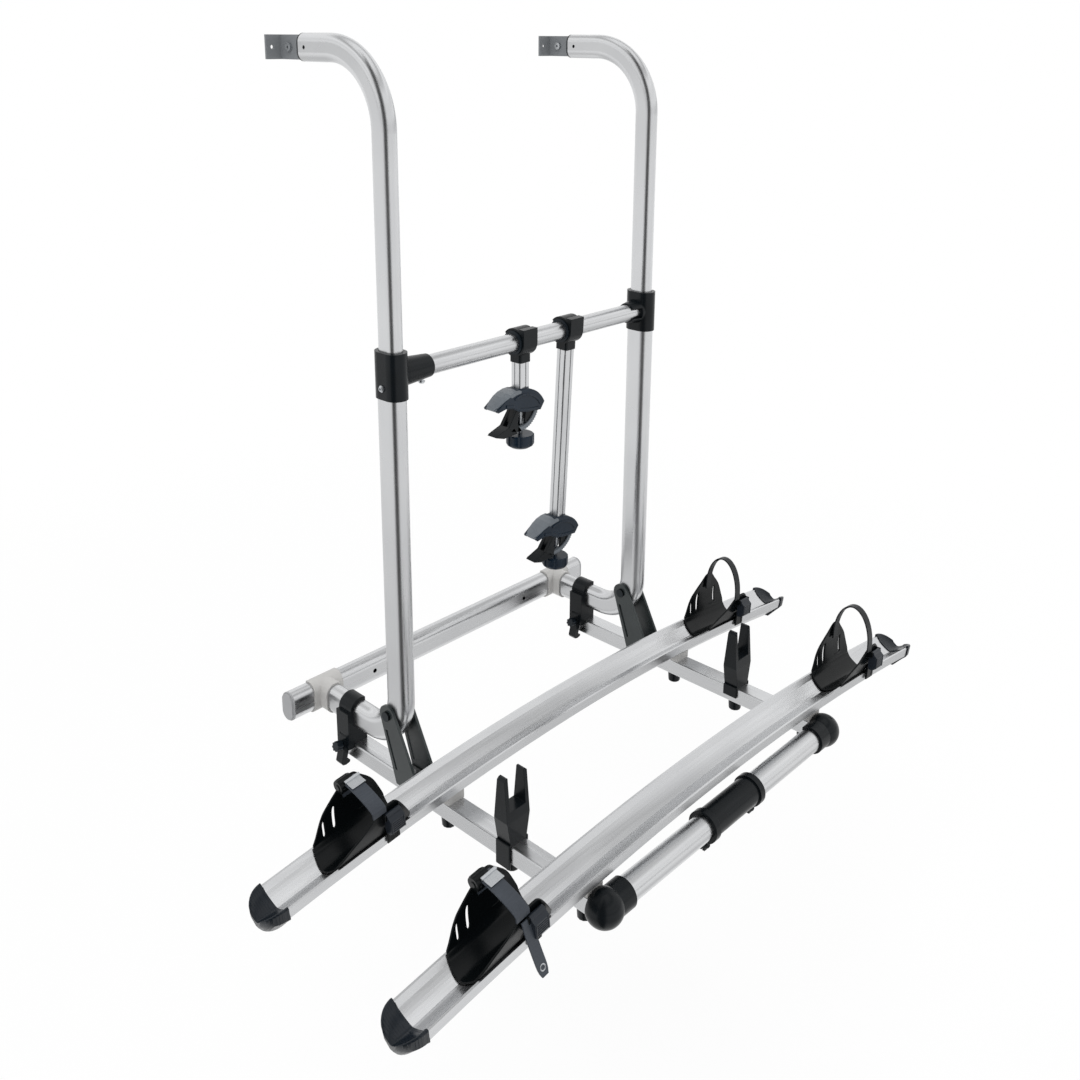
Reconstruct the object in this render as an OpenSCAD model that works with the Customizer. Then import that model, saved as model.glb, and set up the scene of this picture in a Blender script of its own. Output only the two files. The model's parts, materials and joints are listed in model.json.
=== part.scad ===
// Motorhome bike rack for the rear wall of a vehicle.
// A bent-tube frame on a wall bar carries a folding platform with two curved wheel
// rails, and a crossbar with two arms whose claws hold the bicycle frames.
// Millimetres. X runs along the rails, Y points to the vehicle wall, Z is up.
// The origin is the centre of the wall bar's back face.

/* [Frame] */
// Distance between the two uprights
upright_spacing = 612; // [590:1:640]
// Vehicle wall to the axis of the uprights
wall_distance = 238.5; // [232:0.5:250]
// Width of the lower tube across the rack
lower_width = 33; // [31:0.5:36]
// Depth of the lower tube towards the wall
lower_depth = 52; // [49:0.5:56]
// Wall of the lower tube
lower_wall = 2.2; // [1.8:0.1:2.4]
// Height where the lower tubes end
lower_top = 672; // [640:1:700]
// Centreline radius of the bend at the foot
foot_bend = 80; // [74:1:90]
// Depth of the upper tube towards the wall
upper_depth = 43; // [38:0.5:45]
// Wall of the upper tube
upper_wall = 2; // [1.5:0.1:2.4]
// Height of the lower end of the upper tube
upper_bottom = 430; // [380:1:480]
// Height of the top run that reaches the wall
top_height = 1126.5; // [1000:0.5:1200]
// Centreline radius of the bend at the top
top_bend = 118; // [90:1:130]
// Gap between the end of the upper tube and the wall
bracket_gap = 55; // [50:1:65]
// Length of the wall bar
bar_length = 756; // [700:1:820]
// Depth of the wall bar
bar_depth = 33; // [30:0.5:36]
// Height of the wall bar
bar_height = 54; // [50:0.5:60]
// Wall of the wall bar
bar_wall = 2.5; // [2:0.1:3]
// Distance between the bolt holes in the wall bar
bar_bolt_spacing = 400; // [300:1:500]
// Radius of the wall bolt holes
wall_bolt_radius = 4.25; // [3.25:0.25:5.25]

/* [Crossbar] */
// Diameter of the crossbar
crossbar_diameter = 32; // [30:0.5:34]
// Wall of the crossbar
crossbar_wall = 2.5; // [2:0.1:3]
// Height of a joint block
joint_height = 75; // [66:1:84]
// Wall of a joint block around the tube
joint_wall = 2.75; // [2.25:0.25:3.5]
// Thickness of the cap that closes a joint block
joint_cap = 8.5; // [6:0.5:10]
// Length of the long socket on the left block
left_socket_length = 55; // [48:1:62]
// Length of the short socket on the right block
right_socket_length = 26; // [20:1:30]

/* [Arms] */
// Place of the short arm along the crossbar
short_arm_x = -23; // [-40:1:-15]
// Place of the long arm along the crossbar
long_arm_x = 95; // [90:1:110]
// Crossbar axis to the centre of the short arm's claw
short_arm_reach = 136; // [130:1:150]
// Crossbar axis to the centre of the long arm's claw
long_arm_reach = 415; // [380:1:430]
// Lean of the long arm towards the wall, in degrees
long_arm_lean = 2.8; // [0:0.1:3]
// Width of the square arm tube
arm_width = 24; // [23:0.5:26]
// Bore of the arm tube
arm_bore_radius = 10; // [9.5:0.1:10.2]

/* [Claws] */
// Thickness of a claw
claw_thickness = 34; // [32:0.5:36]
// Radius of the hood that bridges a claw
hood_radius = 60; // [57:0.5:62]
// Radius of the toothed sector on a jaw
sector_radius = 47.5; // [45:0.5:48]
// Number of teeth on a sector
sector_teeth = 14; // [8:1:18]
// Radius of a claw knob
claw_knob_radius = 25; // [22:0.5:27]
// Height of a claw knob
claw_knob_height = 24; // [20:0.5:26]

/* [Platform] */
// Width of a base bar
base_width = 34; // [34:0.5:36]
// Height of a base bar
base_height = 31; // [28:0.5:33]
// Wall of a base bar
base_wall = 2.2; // [1.6:0.1:2.6]
// Height of the top of the base bars, below the wall bar's axis
base_drop = 52.5; // [52:0.5:56]
// Vehicle wall to the rear end of the base bars
base_rear = 98.5; // [90:0.5:105]
// Upright axis to the fold pivot, towards the wall
pivot_offset = 12; // [10:0.5:14]
// Height of the fold pivot
pivot_height = 50.5; // [48:0.5:54]
// Radius of the fold pins
pivot_radius = 5; // [4:0.25:6]
// Thickness of a cheek plate
cheek_thickness = 5; // [4:0.5:6]
// Diameter of the front tube
front_diameter = 42; // [40:0.5:43]
// Wall of the front tube
front_wall = 2.2; // [1.6:0.1:2.6]
// Front rail to the axis of the front tube
front_tube_reach = 37.2; // [36.5:0.1:42]
// Radius of an elbow
elbow_radius = 30; // [29:0.5:32]

/* [Rails] */
// Vehicle wall to the rear rail
rear_rail_distance = 352.7; // [350:0.1:356]
// Vehicle wall to the front rail
front_rail_distance = 649.3; // [646:0.1:650]
// Length of a rail
rail_length = 1280; // [1240:1:1320]
// Radius of the rails' arch at the rims
rail_arch_radius = 4475; // [4300:1:4700]
// Width of a rail over its rims
rail_width = 69.4; // [68:0.1:71]
// Depth of a rail
rail_depth = 45; // [43:0.1:47]
// Depth of the wheel trough at its middle
trough_depth = 21; // [19:0.5:22]
// Wall of the rail profile
rail_wall = 2.5; // [2:0.1:3]

/* [Wheel holders] */
// Reach of a wheel holder to the left of its slide position
holder_left_reach = 52; // [48:1:58]
// Reach of a wheel holder to the right of its slide position
holder_right_reach = 95; // [90:1:98]
// Left ends of the rails to the slide position of the left holders
left_holder_inset = 132; // [120:1:140]
// Right ends of the rails to the slide position of the right holders
right_holder_inset = 222; // [210:1:224]
// Height of a holder's rear wall above the rims
holder_rear_height = 60; // [50:0.5:64]
// Height of a holder's front wall above the rims
holder_front_height = 54; // [50:0.5:58]
// Width of the straps on the left holders
strap_width = 25; // [20:0.5:28]
// Width of the straps on the right holders
loop_width = 16; // [14:0.5:18]
// Thickness of a strap
strap_thickness = 3; // [2.5:0.1:3.5]

/* [Forks and latches] */
// Middle between the rails to the forks, towards the wall
fork_offset = 2.5; // [0:0.5:8]
// Height of the fork tips
fork_top = 66.5; // [60:0.5:68]
// Thickness of a fork prong
prong_thickness = 7.5; // [6:0.5:9]
// Wall to the middle of the latches
latch_distance = 110; // [108:0.5:114]
// Width of a latch along the tube
latch_width = 33; // [30:0.5:36]
// Thickness of the latch spine
latch_spine = 12; // [10:0.5:13]
// Angle by which the latch hooks are drawn open at rest, in degrees
latch_rest_angle = 14; // [13:0.5:20]

/* [Hidden] */
$fn = 64;
arch_facets = 720;
overrun = 1;
run_clearance = 0.05;
gap = 0.3;

upper_width = lower_width - 2 * lower_wall - 2 * gap;
upright_x = upright_spacing / 2;
joint_top = lower_top + joint_cap;
joint_bottom = joint_top - joint_height;
crossbar_z = (joint_top + joint_bottom) / 2;
crossbar_radius = crossbar_diameter / 2;
joint_face_x = upright_x - lower_width / 2 - joint_wall;
base_z = -base_drop - base_height / 2;
pivot_y = pivot_offset - wall_distance;
front_distance = front_rail_distance + front_tube_reach;
front_y = -front_distance;
fork_distance = (rear_rail_distance + front_rail_distance) / 2 - fork_offset;
left_holder_x = left_holder_inset - rail_length / 2;
right_holder_x = rail_length / 2 - right_holder_inset;
front_radius = front_diameter / 2;

// Details of the frame
cap_plate = 3;
cap_spigot = 14;
cap_taper = 2;
collar_wall = 3;
collar_length = 34;
collar_bar_length = 62;
collar_wrap = 8;
guide_length = 40;
guide_width = 18;
socket_wall = 5;
socket_taper = 2;
socket_floor = 2;
slot_height = 19;
screw_radius = 3;
screw_head_radius = 5.5;
screw_head_height = 4;
hex_radius = 2.2;
hex_depth = 2.2;
joint_screw_drop = 19;
socket_screw_inset = 14;
tongue_width = 12;
bracket_plate = 4;
bracket_height = 37;
bracket_wall = 3;
bracket_flange = 22;
bracket_bolt_radius = 4;
bracket_bolt_y = 27;
wall_hole_offset = 11;
wall_hole_radius = 3.25;
end_screw_y = 70;

// Details of the arms
liner_wall = 3;
liner_length = 34;
liner_flange = 2;
liner_rim = 2;
clamp_wall = 6;
clamp_mouth_angle = 95;
clamp_mouth_start = -58;
neck_drop = 36;
neck_width = 27;
spigot_length = 20;
arm_corner = 5;
arm_groove = 1;
arm_groove_width = 5;

// Details of the claws, from the claw's centre on the arm's axis
hood_centre_x = -10;
hood_centre_z = -5;
hood_start_angle = 27;
hood_end_angle = 116;
hood_steps = 18;
hood_edge = 9;
jaw_x = -10;
jaw_z = 24;
jaw_thickness = 22;
jaw_gap = 9;
jaw_eye = 9;
jaw_pin_radius = 5;
jaw_slot_top = 34.5;
sector_from = -13;
sector_to = -98;
tooth_depth = 2;
rod_radius = 4;
rod_top = 49;
knob_top = -31;
knob_lobes = 8;
knob_lobe_radius = 5;
knob_edge = 4;
beak_tip = [-71, 28.7];
beak_shoulder = [-52, 42];
beak_nose = [-69.5, 25.5];
beak_under = [-52, 28.5];
mouth_roof = [-34, 25];
mouth_heel = [-19, 16];
hood_floor = [2, 12];
hood_heel = [34, 9];
finger_tip_high = [-67, -27];
finger_tip_low = [-69, -30.5];
finger_bend = [-46, -34];
finger_root = [-18, -25];
finger_mouth = [-36, -14];
finger_top = [-17, 19];
finger_end_x = -24;

// Details of the platform
base_corner = 3;
front_end_inset = 18;
cheek_head = 18.5;
cheek_rear_reach = 20;
cheek_front_reach = 86.5;
cheek_shoulder_reach = 67;
cheek_shoulder_drop = 89;
cheek_foot_drop = 1.5;
cheek_bolt_reach = 66;
cheek_slit_drop = 27;
cheek_slit_length = 66;
cheek_slit_lean = 24;
pin_head_radius = 8.5;
pin_head_height = 4;
bolt_radius = 4;
bolt_head_radius = 10;
bolt_head_height = 17;
bolt_head_taper = 2;
small_head_radius = 7;
small_head_height = 5;
elbow_trim = 16.2;
elbow_socket_length = 44;
elbow_wall = 4.5;
elbow_tube_inset = 18;
sleeve_left = -64;
sleeve_right = 75;
sleeve_wall = 3.5;
sleeve_rim = 3;
sleeve_rim_length = 12;
lug_drop = 17;
lug_thickness = 11;
lug_slit = 2;
tube_half_gap = 4;

// Details of the rails, as shares of the half width and of the depth
flange_share = 0.38;
flange_lean_share = 0.965;
crease_y_share = 0.72;
crease_depth = 8;
rim_width = 3.4;
keel_half = 7;
keel_rise = 2.2;
trough_steps = 6;
rail_cap_bulge = 9;
rail_cap_ring = 1.5;
saddle_length = 38;
saddle_height = 24;
saddle_floor = 1.2;

// Details of the wheel holders
skirt_depth = 6;
skirt_wall = 3.5;
holder_wall = 5;
floor_thickness = 3.5;
holder_start = 4;
holder_lug_rise = 22;
holder_lug_left = 18;
holder_lug_right = 53;
holder_short_end = 9;
clip_reach = 10;
clip_depth = 13;
slit_width = 5;
slit_low = 8;
slit_high = 42;
slit_lean = 20;
slit_first = -18;
slit_pitch = 25;
buckle_x = 56;
buckle_length = 31;
buckle_height = 11;
buckle_width = 27;
lever_pin_radius = 2.5;
lever_lift = 8.5;
strap_x = 35;
strap_rear_low = 36;
strap_rear_spring = 66;
strap_fold_rise = 20;
strap_arch_rise = 66;

// Details of the forks and latches
fork_foot_depth = 29;
fork_tip_depth = 15;
fork_slot_bottom = 9;
fork_flare = -8;
fork_gap = 34;
tube_grip = 6;
grip_reach = 10;
latch_pivot_drop = 40;
latch_pivot_u = 23;
latch_ear = 8;
latch_pin_radius = 3;
ear_bottom = 60;
hook_eye = 5.8;
hook_finger = 8;
hook_finger_end = 10;
hook_clear = 0.5;
latch_knob_drop = 57;
latch_knob_radius = 9;
latch_knob_length = 12;
latch_stud_radius = 3;
latch_stud_gap = 2;

// Drawing planes and plain shapes

// Turns a drawing so that its x points along Y and its y up.
module side_plane() { rotate([90, 0, 90]) children(); }

// Turns a drawing so that its x points along X and its y up; heights run towards -Y.
module front_plane() { rotate([90, 0, 0]) children(); }

module x_cylinder(radius, length) {
  rotate([0, 90, 0]) cylinder(r = radius, h = length, center = true);
}

module y_cylinder(radius, length) {
  rotate([90, 0, 0]) cylinder(r = radius, h = length, center = true);
}

module stadium(width, depth) {
  straight = depth - width;
  square([width, straight], center = true);
  for (side = [-1, 1])
    translate([0, side * straight / 2])
      circle(d = width);
}

module round_rectangle(width, height, corner) {
  square([width - 2 * corner, height], center = true);
  square([width, height - 2 * corner], center = true);
  for (x = [-1, 1])
    for (y = [-1, 1])
      translate([x * (width / 2 - corner), y * (height / 2 - corner)])
        circle(r = corner);
}

// The point where a line from an outside point touches a circle, on the chosen side.
function tangent_point(centre, radius, from, side) =
  let (away = from - centre)
  let (turn = atan2(away[1], away[0]) + side * acos(radius / norm(away)))
  centre + radius * [cos(turn), sin(turn)];

module at_uprights() {
  for (side = [-1, 1])
    translate([side * upright_x, 0, 0])
      children();
}

// Frame

module wall_bar_envelope(length, inset) {
  translate([0, -bar_depth / 2, 0])
    side_plane()
      linear_extrude(length, center = true)
        stadium(bar_depth - 2 * inset, bar_height - 2 * inset);
}

module wall_bar() {
  color("silver")
    difference() {
      wall_bar_envelope(bar_length, 0);
      wall_bar_envelope(bar_length + overrun, bar_wall);
      for (side = [-1, 1])
        translate([side * bar_bolt_spacing / 2, -bar_depth / 2, 0])
          y_cylinder(wall_bolt_radius, bar_depth + overrun);
    }
}

module wall_bar_caps() {
  color("dimgray")
    for (side = [-1, 1])
      translate([side * bar_length / 2, -bar_depth / 2, 0])
        rotate([0, side * 90, 0]) {
          linear_extrude(cap_plate)
            rotate(90) stadium(bar_depth, bar_height);
          translate([0, 0, cap_plate])
            linear_extrude(cap_plate)
              rotate(90) stadium(bar_depth - 2 * cap_taper, bar_height - 2 * cap_taper);
          translate([0, 0, -cap_spigot])
            linear_extrude(cap_spigot)
              rotate(90) stadium(bar_depth - 2 * bar_wall, bar_height - 2 * bar_wall);
        }
}

// The path of a lower tube: up from the foot bend, and back to the wall bar.
module lower_path(inset, extra) {
  width = lower_width - 2 * inset;
  depth = lower_depth - 2 * inset;
  translate([0, -wall_distance, foot_bend])
    linear_extrude(lower_top - foot_bend + extra)
      stadium(width, depth);
  side_plane()
    translate([foot_bend - wall_distance, foot_bend])
      rotate(180)
        rotate_extrude(angle = 90)
          translate([foot_bend, 0])
            rotate(90) stadium(width, depth);
  translate([0, foot_bend - wall_distance, 0])
    rotate([-90, 0, 0])
      linear_extrude(wall_distance - foot_bend - bar_depth / 2 + extra)
        stadium(width, depth);
}

module lower_upright(side) {
  color("silver")
    translate([side * upright_x, 0, 0])
      difference() {
        lower_path(0, 0);
        lower_path(lower_wall, overrun);
        wall_bar_envelope(bar_depth * 2, 0);
        translate([0, pivot_y, pivot_height])
          x_cylinder(pivot_radius + run_clearance, lower_width + overrun);
        translate([side * lower_width / 2, -wall_distance, crossbar_z - joint_screw_drop])
          x_cylinder(screw_radius, lower_width);
      }
}

module lower_upright_left() { lower_upright(-1); }

module lower_upright_right() { lower_upright(1); }

module foot_collars() {
  color("gainsboro")
    at_uprights()
      difference() {
        union() {
          translate([0, -bar_depth / 2 - collar_wall - collar_length, 0])
            rotate([-90, 0, 0])
              linear_extrude(collar_length + collar_wall)
                stadium(lower_width + 2 * collar_wall, lower_depth + 2 * collar_wall);
          intersection() {
            wall_bar_envelope(collar_bar_length, -collar_wall);
            translate([0, -bar_depth / 2 - collar_wall - overrun - bar_depth / 2 + collar_wrap, 0])
              cube([collar_bar_length, bar_depth + 2 * collar_wall + 2 * overrun,
                bar_height + 4 * collar_wall], center = true);
          }
        }
        wall_bar_envelope(collar_bar_length + overrun, 0);
        translate([0, -bar_depth - collar_length - collar_wall - overrun, 0])
          rotate([-90, 0, 0])
            linear_extrude(bar_depth + collar_length + collar_wall + overrun)
              stadium(lower_width, lower_depth);
      }
}

// The path of an upper tube: up to the top bend, and back towards the wall.
module upper_path(inset, extra) {
  width = upper_width - 2 * inset;
  depth = upper_depth - 2 * inset;
  translate([0, -wall_distance, upper_bottom - extra])
    linear_extrude(top_height - top_bend - upper_bottom + extra)
      stadium(width, depth);
  side_plane()
    translate([top_bend - wall_distance, top_height - top_bend])
      rotate(90)
        rotate_extrude(angle = 90)
          translate([top_bend, 0])
            rotate(90) stadium(width, depth);
  translate([0, top_bend - wall_distance, top_height])
    rotate([-90, 0, 0])
      linear_extrude(wall_distance - top_bend - bracket_gap + extra)
        stadium(width, depth);
}

module upper_upright(side) {
  color("silver")
    translate([side * upright_x, 0, 0])
      difference() {
        upper_path(0, 0);
        upper_path(upper_wall, overrun);
        translate([0, -end_screw_y, top_height])
          x_cylinder(screw_radius, upper_width + overrun);
      }
}

module upper_upright_left() { upper_upright(-1); }

module upper_upright_right() { upper_upright(1); }

// Black plugs in the ends of the upper tubes, with a tongue for the bracket bolt.
module upright_plugs() {
  plug_back = bracket_gap - cap_plate;
  tongue_length = plug_back - bracket_bolt_y;
  color("#202426")
    at_uprights()
      translate([0, 0, top_height])
        difference() {
          union() {
            translate([0, -bracket_gap, 0])
              rotate([-90, 0, 0])
                linear_extrude(cap_plate)
                  stadium(upper_width, upper_depth);
            translate([0, -bracket_gap - cap_spigot, 0])
              rotate([-90, 0, 0])
                linear_extrude(cap_spigot)
                  stadium(upper_width - 2 * upper_wall, upper_depth - 2 * upper_wall);
            translate([0, -plug_back + tongue_length / 2, 0])
              cube([tongue_width, tongue_length, bracket_height - 2 * bracket_wall],
                center = true);
            translate([0, -bracket_bolt_y, 0])
              x_cylinder(bracket_height / 2 - bracket_wall, tongue_width);
          }
          translate([0, -bracket_bolt_y, 0])
            x_cylinder(bracket_bolt_radius, tongue_width + overrun);
        }
}

// U-shaped brackets between the plugs and the vehicle wall.
module wall_brackets() {
  side_length = bracket_gap - cap_plate - gap;
  color("gray")
    at_uprights()
      translate([0, 0, top_height])
        difference() {
          union() {
            translate([0, -bracket_plate / 2, 0])
              cube([upper_width + 2 * bracket_flange, bracket_plate, bracket_height],
                center = true);
            for (side = [-1, 1])
              translate([side * (tongue_width / 2 + gap + bracket_wall / 2),
                -side_length / 2, 0])
                cube([bracket_wall, side_length, bracket_height], center = true);
          }
          translate([0, -bracket_bolt_y, 0])
            x_cylinder(bracket_bolt_radius, upper_width);
          for (side = [-1, 1])
            translate([side * (upper_width / 2 + wall_hole_offset), -bracket_plate / 2, 0])
              y_cylinder(wall_hole_radius, bracket_plate + overrun);
        }
}

module bracket_bolts() {
  reach = tongue_width / 2 + gap + bracket_wall;
  color("lightslategray")
    at_uprights()
      translate([0, -bracket_bolt_y, top_height]) {
        x_cylinder(bracket_bolt_radius, 2 * reach);
        for (side = [-1, 1])
          translate([side * (reach + screw_head_height / 2), 0, 0])
            difference() {
              x_cylinder(screw_head_radius + overrun, screw_head_height);
              translate([side * (screw_head_height / 2 - hex_depth / 2), 0, 0])
                x_cylinder(hex_radius, hex_depth + overrun, $fn = 6);
            }
      }
}

// A socket of a joint block, drawn along +X from the tube's axis.
module joint_socket(length) {
  root_radius = crossbar_radius + socket_wall + socket_taper;
  tip_radius = crossbar_radius + socket_wall - socket_taper;
  reach = upright_x - joint_face_x + length;
  rotate([0, 90, 0])
    rotate_extrude()
      polygon([
        [0, 0],
        [root_radius, 0],
        [root_radius, reach - length],
        [tip_radius, reach - socket_taper],
        [tip_radius - socket_taper, reach],
        [0, reach]
      ]);
}

// A joint block around the end of a lower tube; its socket faces the other upright.
module upright_joint(side, socket_length, open_front) {
  width = lower_width + 2 * joint_wall;
  depth = lower_depth + 2 * joint_wall;
  color("#1d2326")
    translate([side * upright_x, -wall_distance, 0])
      difference() {
        union() {
          translate([0, 0, joint_bottom])
            linear_extrude(joint_height)
              stadium(width, depth);
          translate([0, 0, crossbar_z])
            mirror([side > 0 ? 1 : 0, 0, 0])
              joint_socket(socket_length);
        }
        translate([0, 0, joint_bottom - overrun])
          linear_extrude(lower_top - joint_bottom + overrun)
            difference() {
              stadium(lower_width, lower_depth);
              intersection() {
                difference() {
                  stadium(lower_width - 2 * lower_wall, lower_depth - 2 * lower_wall);
                  stadium(upper_width + 2 * gap, upper_depth + 2 * gap);
                }
                square([guide_width, lower_depth], center = true);
              }
            }
        translate([0, 0, joint_bottom - 2 * overrun])
          linear_extrude(lower_top - guide_length - joint_bottom + 2 * overrun)
            stadium(lower_width, lower_depth);
        translate([0, 0, joint_bottom - overrun])
          linear_extrude(joint_height + 2 * overrun)
            stadium(upper_width + 2 * gap, upper_depth + 2 * gap);
        translate([-side * (upright_x - joint_face_x + socket_floor + socket_length / 2), 0, crossbar_z])
          x_cylinder(crossbar_radius, socket_length);
        translate([side * (lower_width / 2 + joint_wall), 0, crossbar_z - joint_screw_drop])
          x_cylinder(screw_radius, 4 * joint_wall);
        if (open_front)
          translate([-side * (upright_x - joint_face_x + socket_floor + socket_length / 2),
            -crossbar_radius, crossbar_z])
            cube([socket_length, crossbar_diameter, slot_height], center = true);
        if (!open_front)
          translate([-side * (upright_x - joint_face_x + socket_length - socket_screw_inset), 0,
            crossbar_z - crossbar_radius])
            cylinder(r = screw_radius, h = 4 * socket_wall, center = true);
      }
}

module upright_joint_left() { upright_joint(-1, left_socket_length, false); }

module upright_joint_right() { upright_joint(1, right_socket_length, true); }

module crossbar() {
  length = 2 * (joint_face_x - socket_floor);
  color("silver")
    translate([0, -wall_distance, crossbar_z])
      difference() {
        x_cylinder(crossbar_radius, length);
        x_cylinder(crossbar_radius - crossbar_wall, length + overrun);
      }
}

// A button-head screw whose shank runs along -Z from its seat.
module button_screw(length) {
  difference() {
    rotate_extrude()
      polygon([
        [0, 0],
        [screw_head_radius, 0],
        [screw_head_radius, screw_head_height / 2],
        [screw_head_radius - screw_head_height / 2, screw_head_height],
        [0, screw_head_height]
      ]);
    translate([0, 0, screw_head_height - hex_depth])
      cylinder(r = hex_radius, h = hex_depth + overrun, $fn = 6);
  }
  translate([0, 0, -length])
    cylinder(r = screw_radius, h = length);
}

// Screws that clamp the joint blocks, and one under the long socket.
module frame_screws() {
  color("lightslategray") {
    for (side = [-1, 1])
      translate([side * (upright_x + lower_width / 2 + joint_wall), -wall_distance,
        crossbar_z - joint_screw_drop])
        rotate([0, side * 90, 0])
          button_screw(joint_wall + lower_wall);
    translate([-joint_face_x + left_socket_length - socket_screw_inset, -wall_distance,
      crossbar_z - crossbar_radius - socket_wall - socket_taper])
      rotate([180, 0, 0])
        button_screw(socket_wall + socket_taper);
  }
}

// Arms: children are placed at a clamp on the crossbar and lean with the arm

module at_arm(x, lean) {
  translate([x, -wall_distance, crossbar_z])
    rotate([lean, 0, 0])
      children();
}

// A plastic liner that slides on the crossbar and carries a clamp.
module arm_liner(x) {
  color("dimgray")
    translate([x, -wall_distance, crossbar_z])
      difference() {
        union() {
          x_cylinder(crossbar_radius + liner_wall, liner_length);
          for (side = [-1, 1])
            translate([side * (liner_length + liner_flange) / 2, 0, 0])
              x_cylinder(crossbar_radius + liner_wall + liner_rim, liner_flange);
        }
        x_cylinder(crossbar_radius + run_clearance, liner_length + 2 * liner_flange + overrun);
      }
}

// A snap hook that swivels on its liner; its neck holds the arm tube.
module arm_clamp(x, lean) {
  bore = crossbar_radius + liner_wall + run_clearance;
  outer = bore + clamp_wall;
  width = liner_length - 2 * gap;
  mouth_reach = 2 * outer;
  mouth_end = clamp_mouth_start + clamp_mouth_angle;
  color("#1d2326")
    at_arm(x, lean)
      difference() {
        union() {
          x_cylinder(outer, width);
          translate([0, 0, -neck_drop])
            linear_extrude(neck_drop)
              round_rectangle(neck_width, neck_width, arm_corner);
          translate([0, 0, -neck_drop - spigot_length])
            cylinder(r = arm_bore_radius - run_clearance, h = spigot_length + overrun);
          side_plane()
            translate([-outer, 0])
              linear_extrude(width, center = true)
                square([outer / 2, outer], center = false);
        }
        x_cylinder(bore, width + overrun);
        side_plane()
          linear_extrude(width + overrun, center = true)
            polygon([
              [0, 0],
              mouth_reach * [cos(clamp_mouth_start), sin(clamp_mouth_start)],
              mouth_reach * [cos(clamp_mouth_start / 4), sin(clamp_mouth_start / 4)],
              mouth_reach * [cos(mouth_end), sin(mouth_end)]
            ]);
      }
}

module arm_tube(x, reach, lean) {
  top = -neck_drop;
  bottom = hood_centre_z + hood_radius - reach;
  color("silver")
    at_arm(x, lean)
      translate([0, 0, bottom])
        linear_extrude(top - bottom)
          difference() {
            round_rectangle(arm_width, arm_width, arm_corner);
            circle(r = arm_bore_radius);
            for (turn = [0:90:270])
              rotate(turn)
                translate([arm_width / 2, 0])
                  square([2 * arm_groove, arm_groove_width], center = true);
          }
}

module at_claw(x, reach, lean) {
  at_arm(x, lean)
    translate([0, 0, -reach])
      children();
}

// The outline of a claw's hood: a round back, and a beak towards -X.
module hood_outline() {
  step = (hood_end_angle - hood_start_angle) / hood_steps;
  arc = [for (turn = [hood_start_angle:step:hood_end_angle])
    [hood_centre_x, hood_centre_z] + hood_radius * [cos(turn), sin(turn)]];
  polygon(concat(arc, [beak_shoulder, beak_tip, beak_nose, beak_under,
    mouth_roof, mouth_heel, hood_floor, hood_heel]));
}

module claw_hood(x, reach, lean) {
  hood_top = hood_centre_z + hood_radius;
  color("#20282b")
    at_claw(x, reach, lean)
      difference() {
        union() {
          intersection() {
            front_plane()
              linear_extrude(claw_thickness, center = true)
                hood_outline();
            translate([hood_centre_x, 0, 0])
              side_plane()
                linear_extrude(4 * hood_radius, center = true)
                  round_rectangle(claw_thickness, 2 * hood_top, hood_edge);
          }
          translate([0, 0, jaw_slot_top + run_clearance])
            cylinder(r = arm_width / 2 + collar_wall, h = hood_top - jaw_slot_top - run_clearance);
          translate([0, 0, rod_top])
            cylinder(r = arm_bore_radius - run_clearance, h = hood_top - rod_top + spigot_length);
        }
        translate([hood_centre_x, 0, jaw_slot_top / 2])
          cube([4 * hood_radius, jaw_thickness + 2 * gap, jaw_slot_top], center = true);
        cylinder(r = rod_radius + run_clearance, h = rod_top + gap);
      }
  color("#20282b")
    at_claw(x, reach, lean)
      for (side = [-1, 1])
        translate([jaw_x, side * (jaw_thickness / 2 + gap + jaw_gap / 2 + gap) / 2, jaw_z])
          y_cylinder(jaw_pin_radius, jaw_thickness / 2 - jaw_gap / 2);
}

// The jaw's outline from its pin: an eye, a toothed sector and a finger.
module jaw_outline() {
  step = (sector_from - sector_to) / (2 * sector_teeth);
  pivot = [jaw_x, jaw_z];
  teeth = [for (index = [0:2 * sector_teeth])
    (sector_radius - (index % 2) * tooth_depth)
      * [cos(sector_to + index * step), sin(sector_to + index * step)]];
  circle(r = jaw_eye);
  polygon(concat([[0, 0]], teeth));
  polygon([[0, 0], finger_top - pivot, finger_mouth - pivot, finger_tip_high - pivot,
    finger_tip_low - pivot, finger_bend - pivot, finger_root - pivot,
    [0, -sector_radius + 2 * tooth_depth]]);
}

module claw_jaw(x, reach, lean) {
  slot_length = 2 * sector_radius;
  color("#14181b")
    at_claw(x, reach, lean)
      translate([jaw_x, 0, jaw_z])
        difference() {
          front_plane()
            linear_extrude(jaw_thickness, center = true)
              jaw_outline();
          translate([finger_end_x - jaw_x + slot_length, 0, 0])
            cube([2 * slot_length, jaw_gap, 2 * slot_length], center = true);
          y_cylinder(jaw_pin_radius + run_clearance, jaw_thickness + overrun);
        }
}

// A lobed knob whose rod runs up into the hood.
module claw_knob(x, reach, lean) {
  color("#1a2022")
    at_claw(x, reach, lean) {
      translate([0, 0, knob_top - claw_knob_height])
        difference() {
          rotate_extrude()
            polygon([
              [0, 0],
              [claw_knob_radius - 2 * knob_edge, 0],
              [claw_knob_radius - knob_edge / 2, knob_edge],
              [claw_knob_radius, 2 * knob_edge],
              [claw_knob_radius, claw_knob_height - knob_edge / 2],
              [claw_knob_radius - knob_edge / 2, claw_knob_height],
              [0, claw_knob_height]
            ]);
          for (index = [1:knob_lobes])
            rotate(index * 360 / knob_lobes)
              translate([claw_knob_radius + knob_lobe_radius / 2, 0, -overrun])
                cylinder(r = knob_lobe_radius, h = claw_knob_height + 2 * overrun);
        }
      translate([0, 0, knob_top - overrun])
        cylinder(r = rod_radius, h = rod_top - knob_top + overrun);
    }
}

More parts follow.
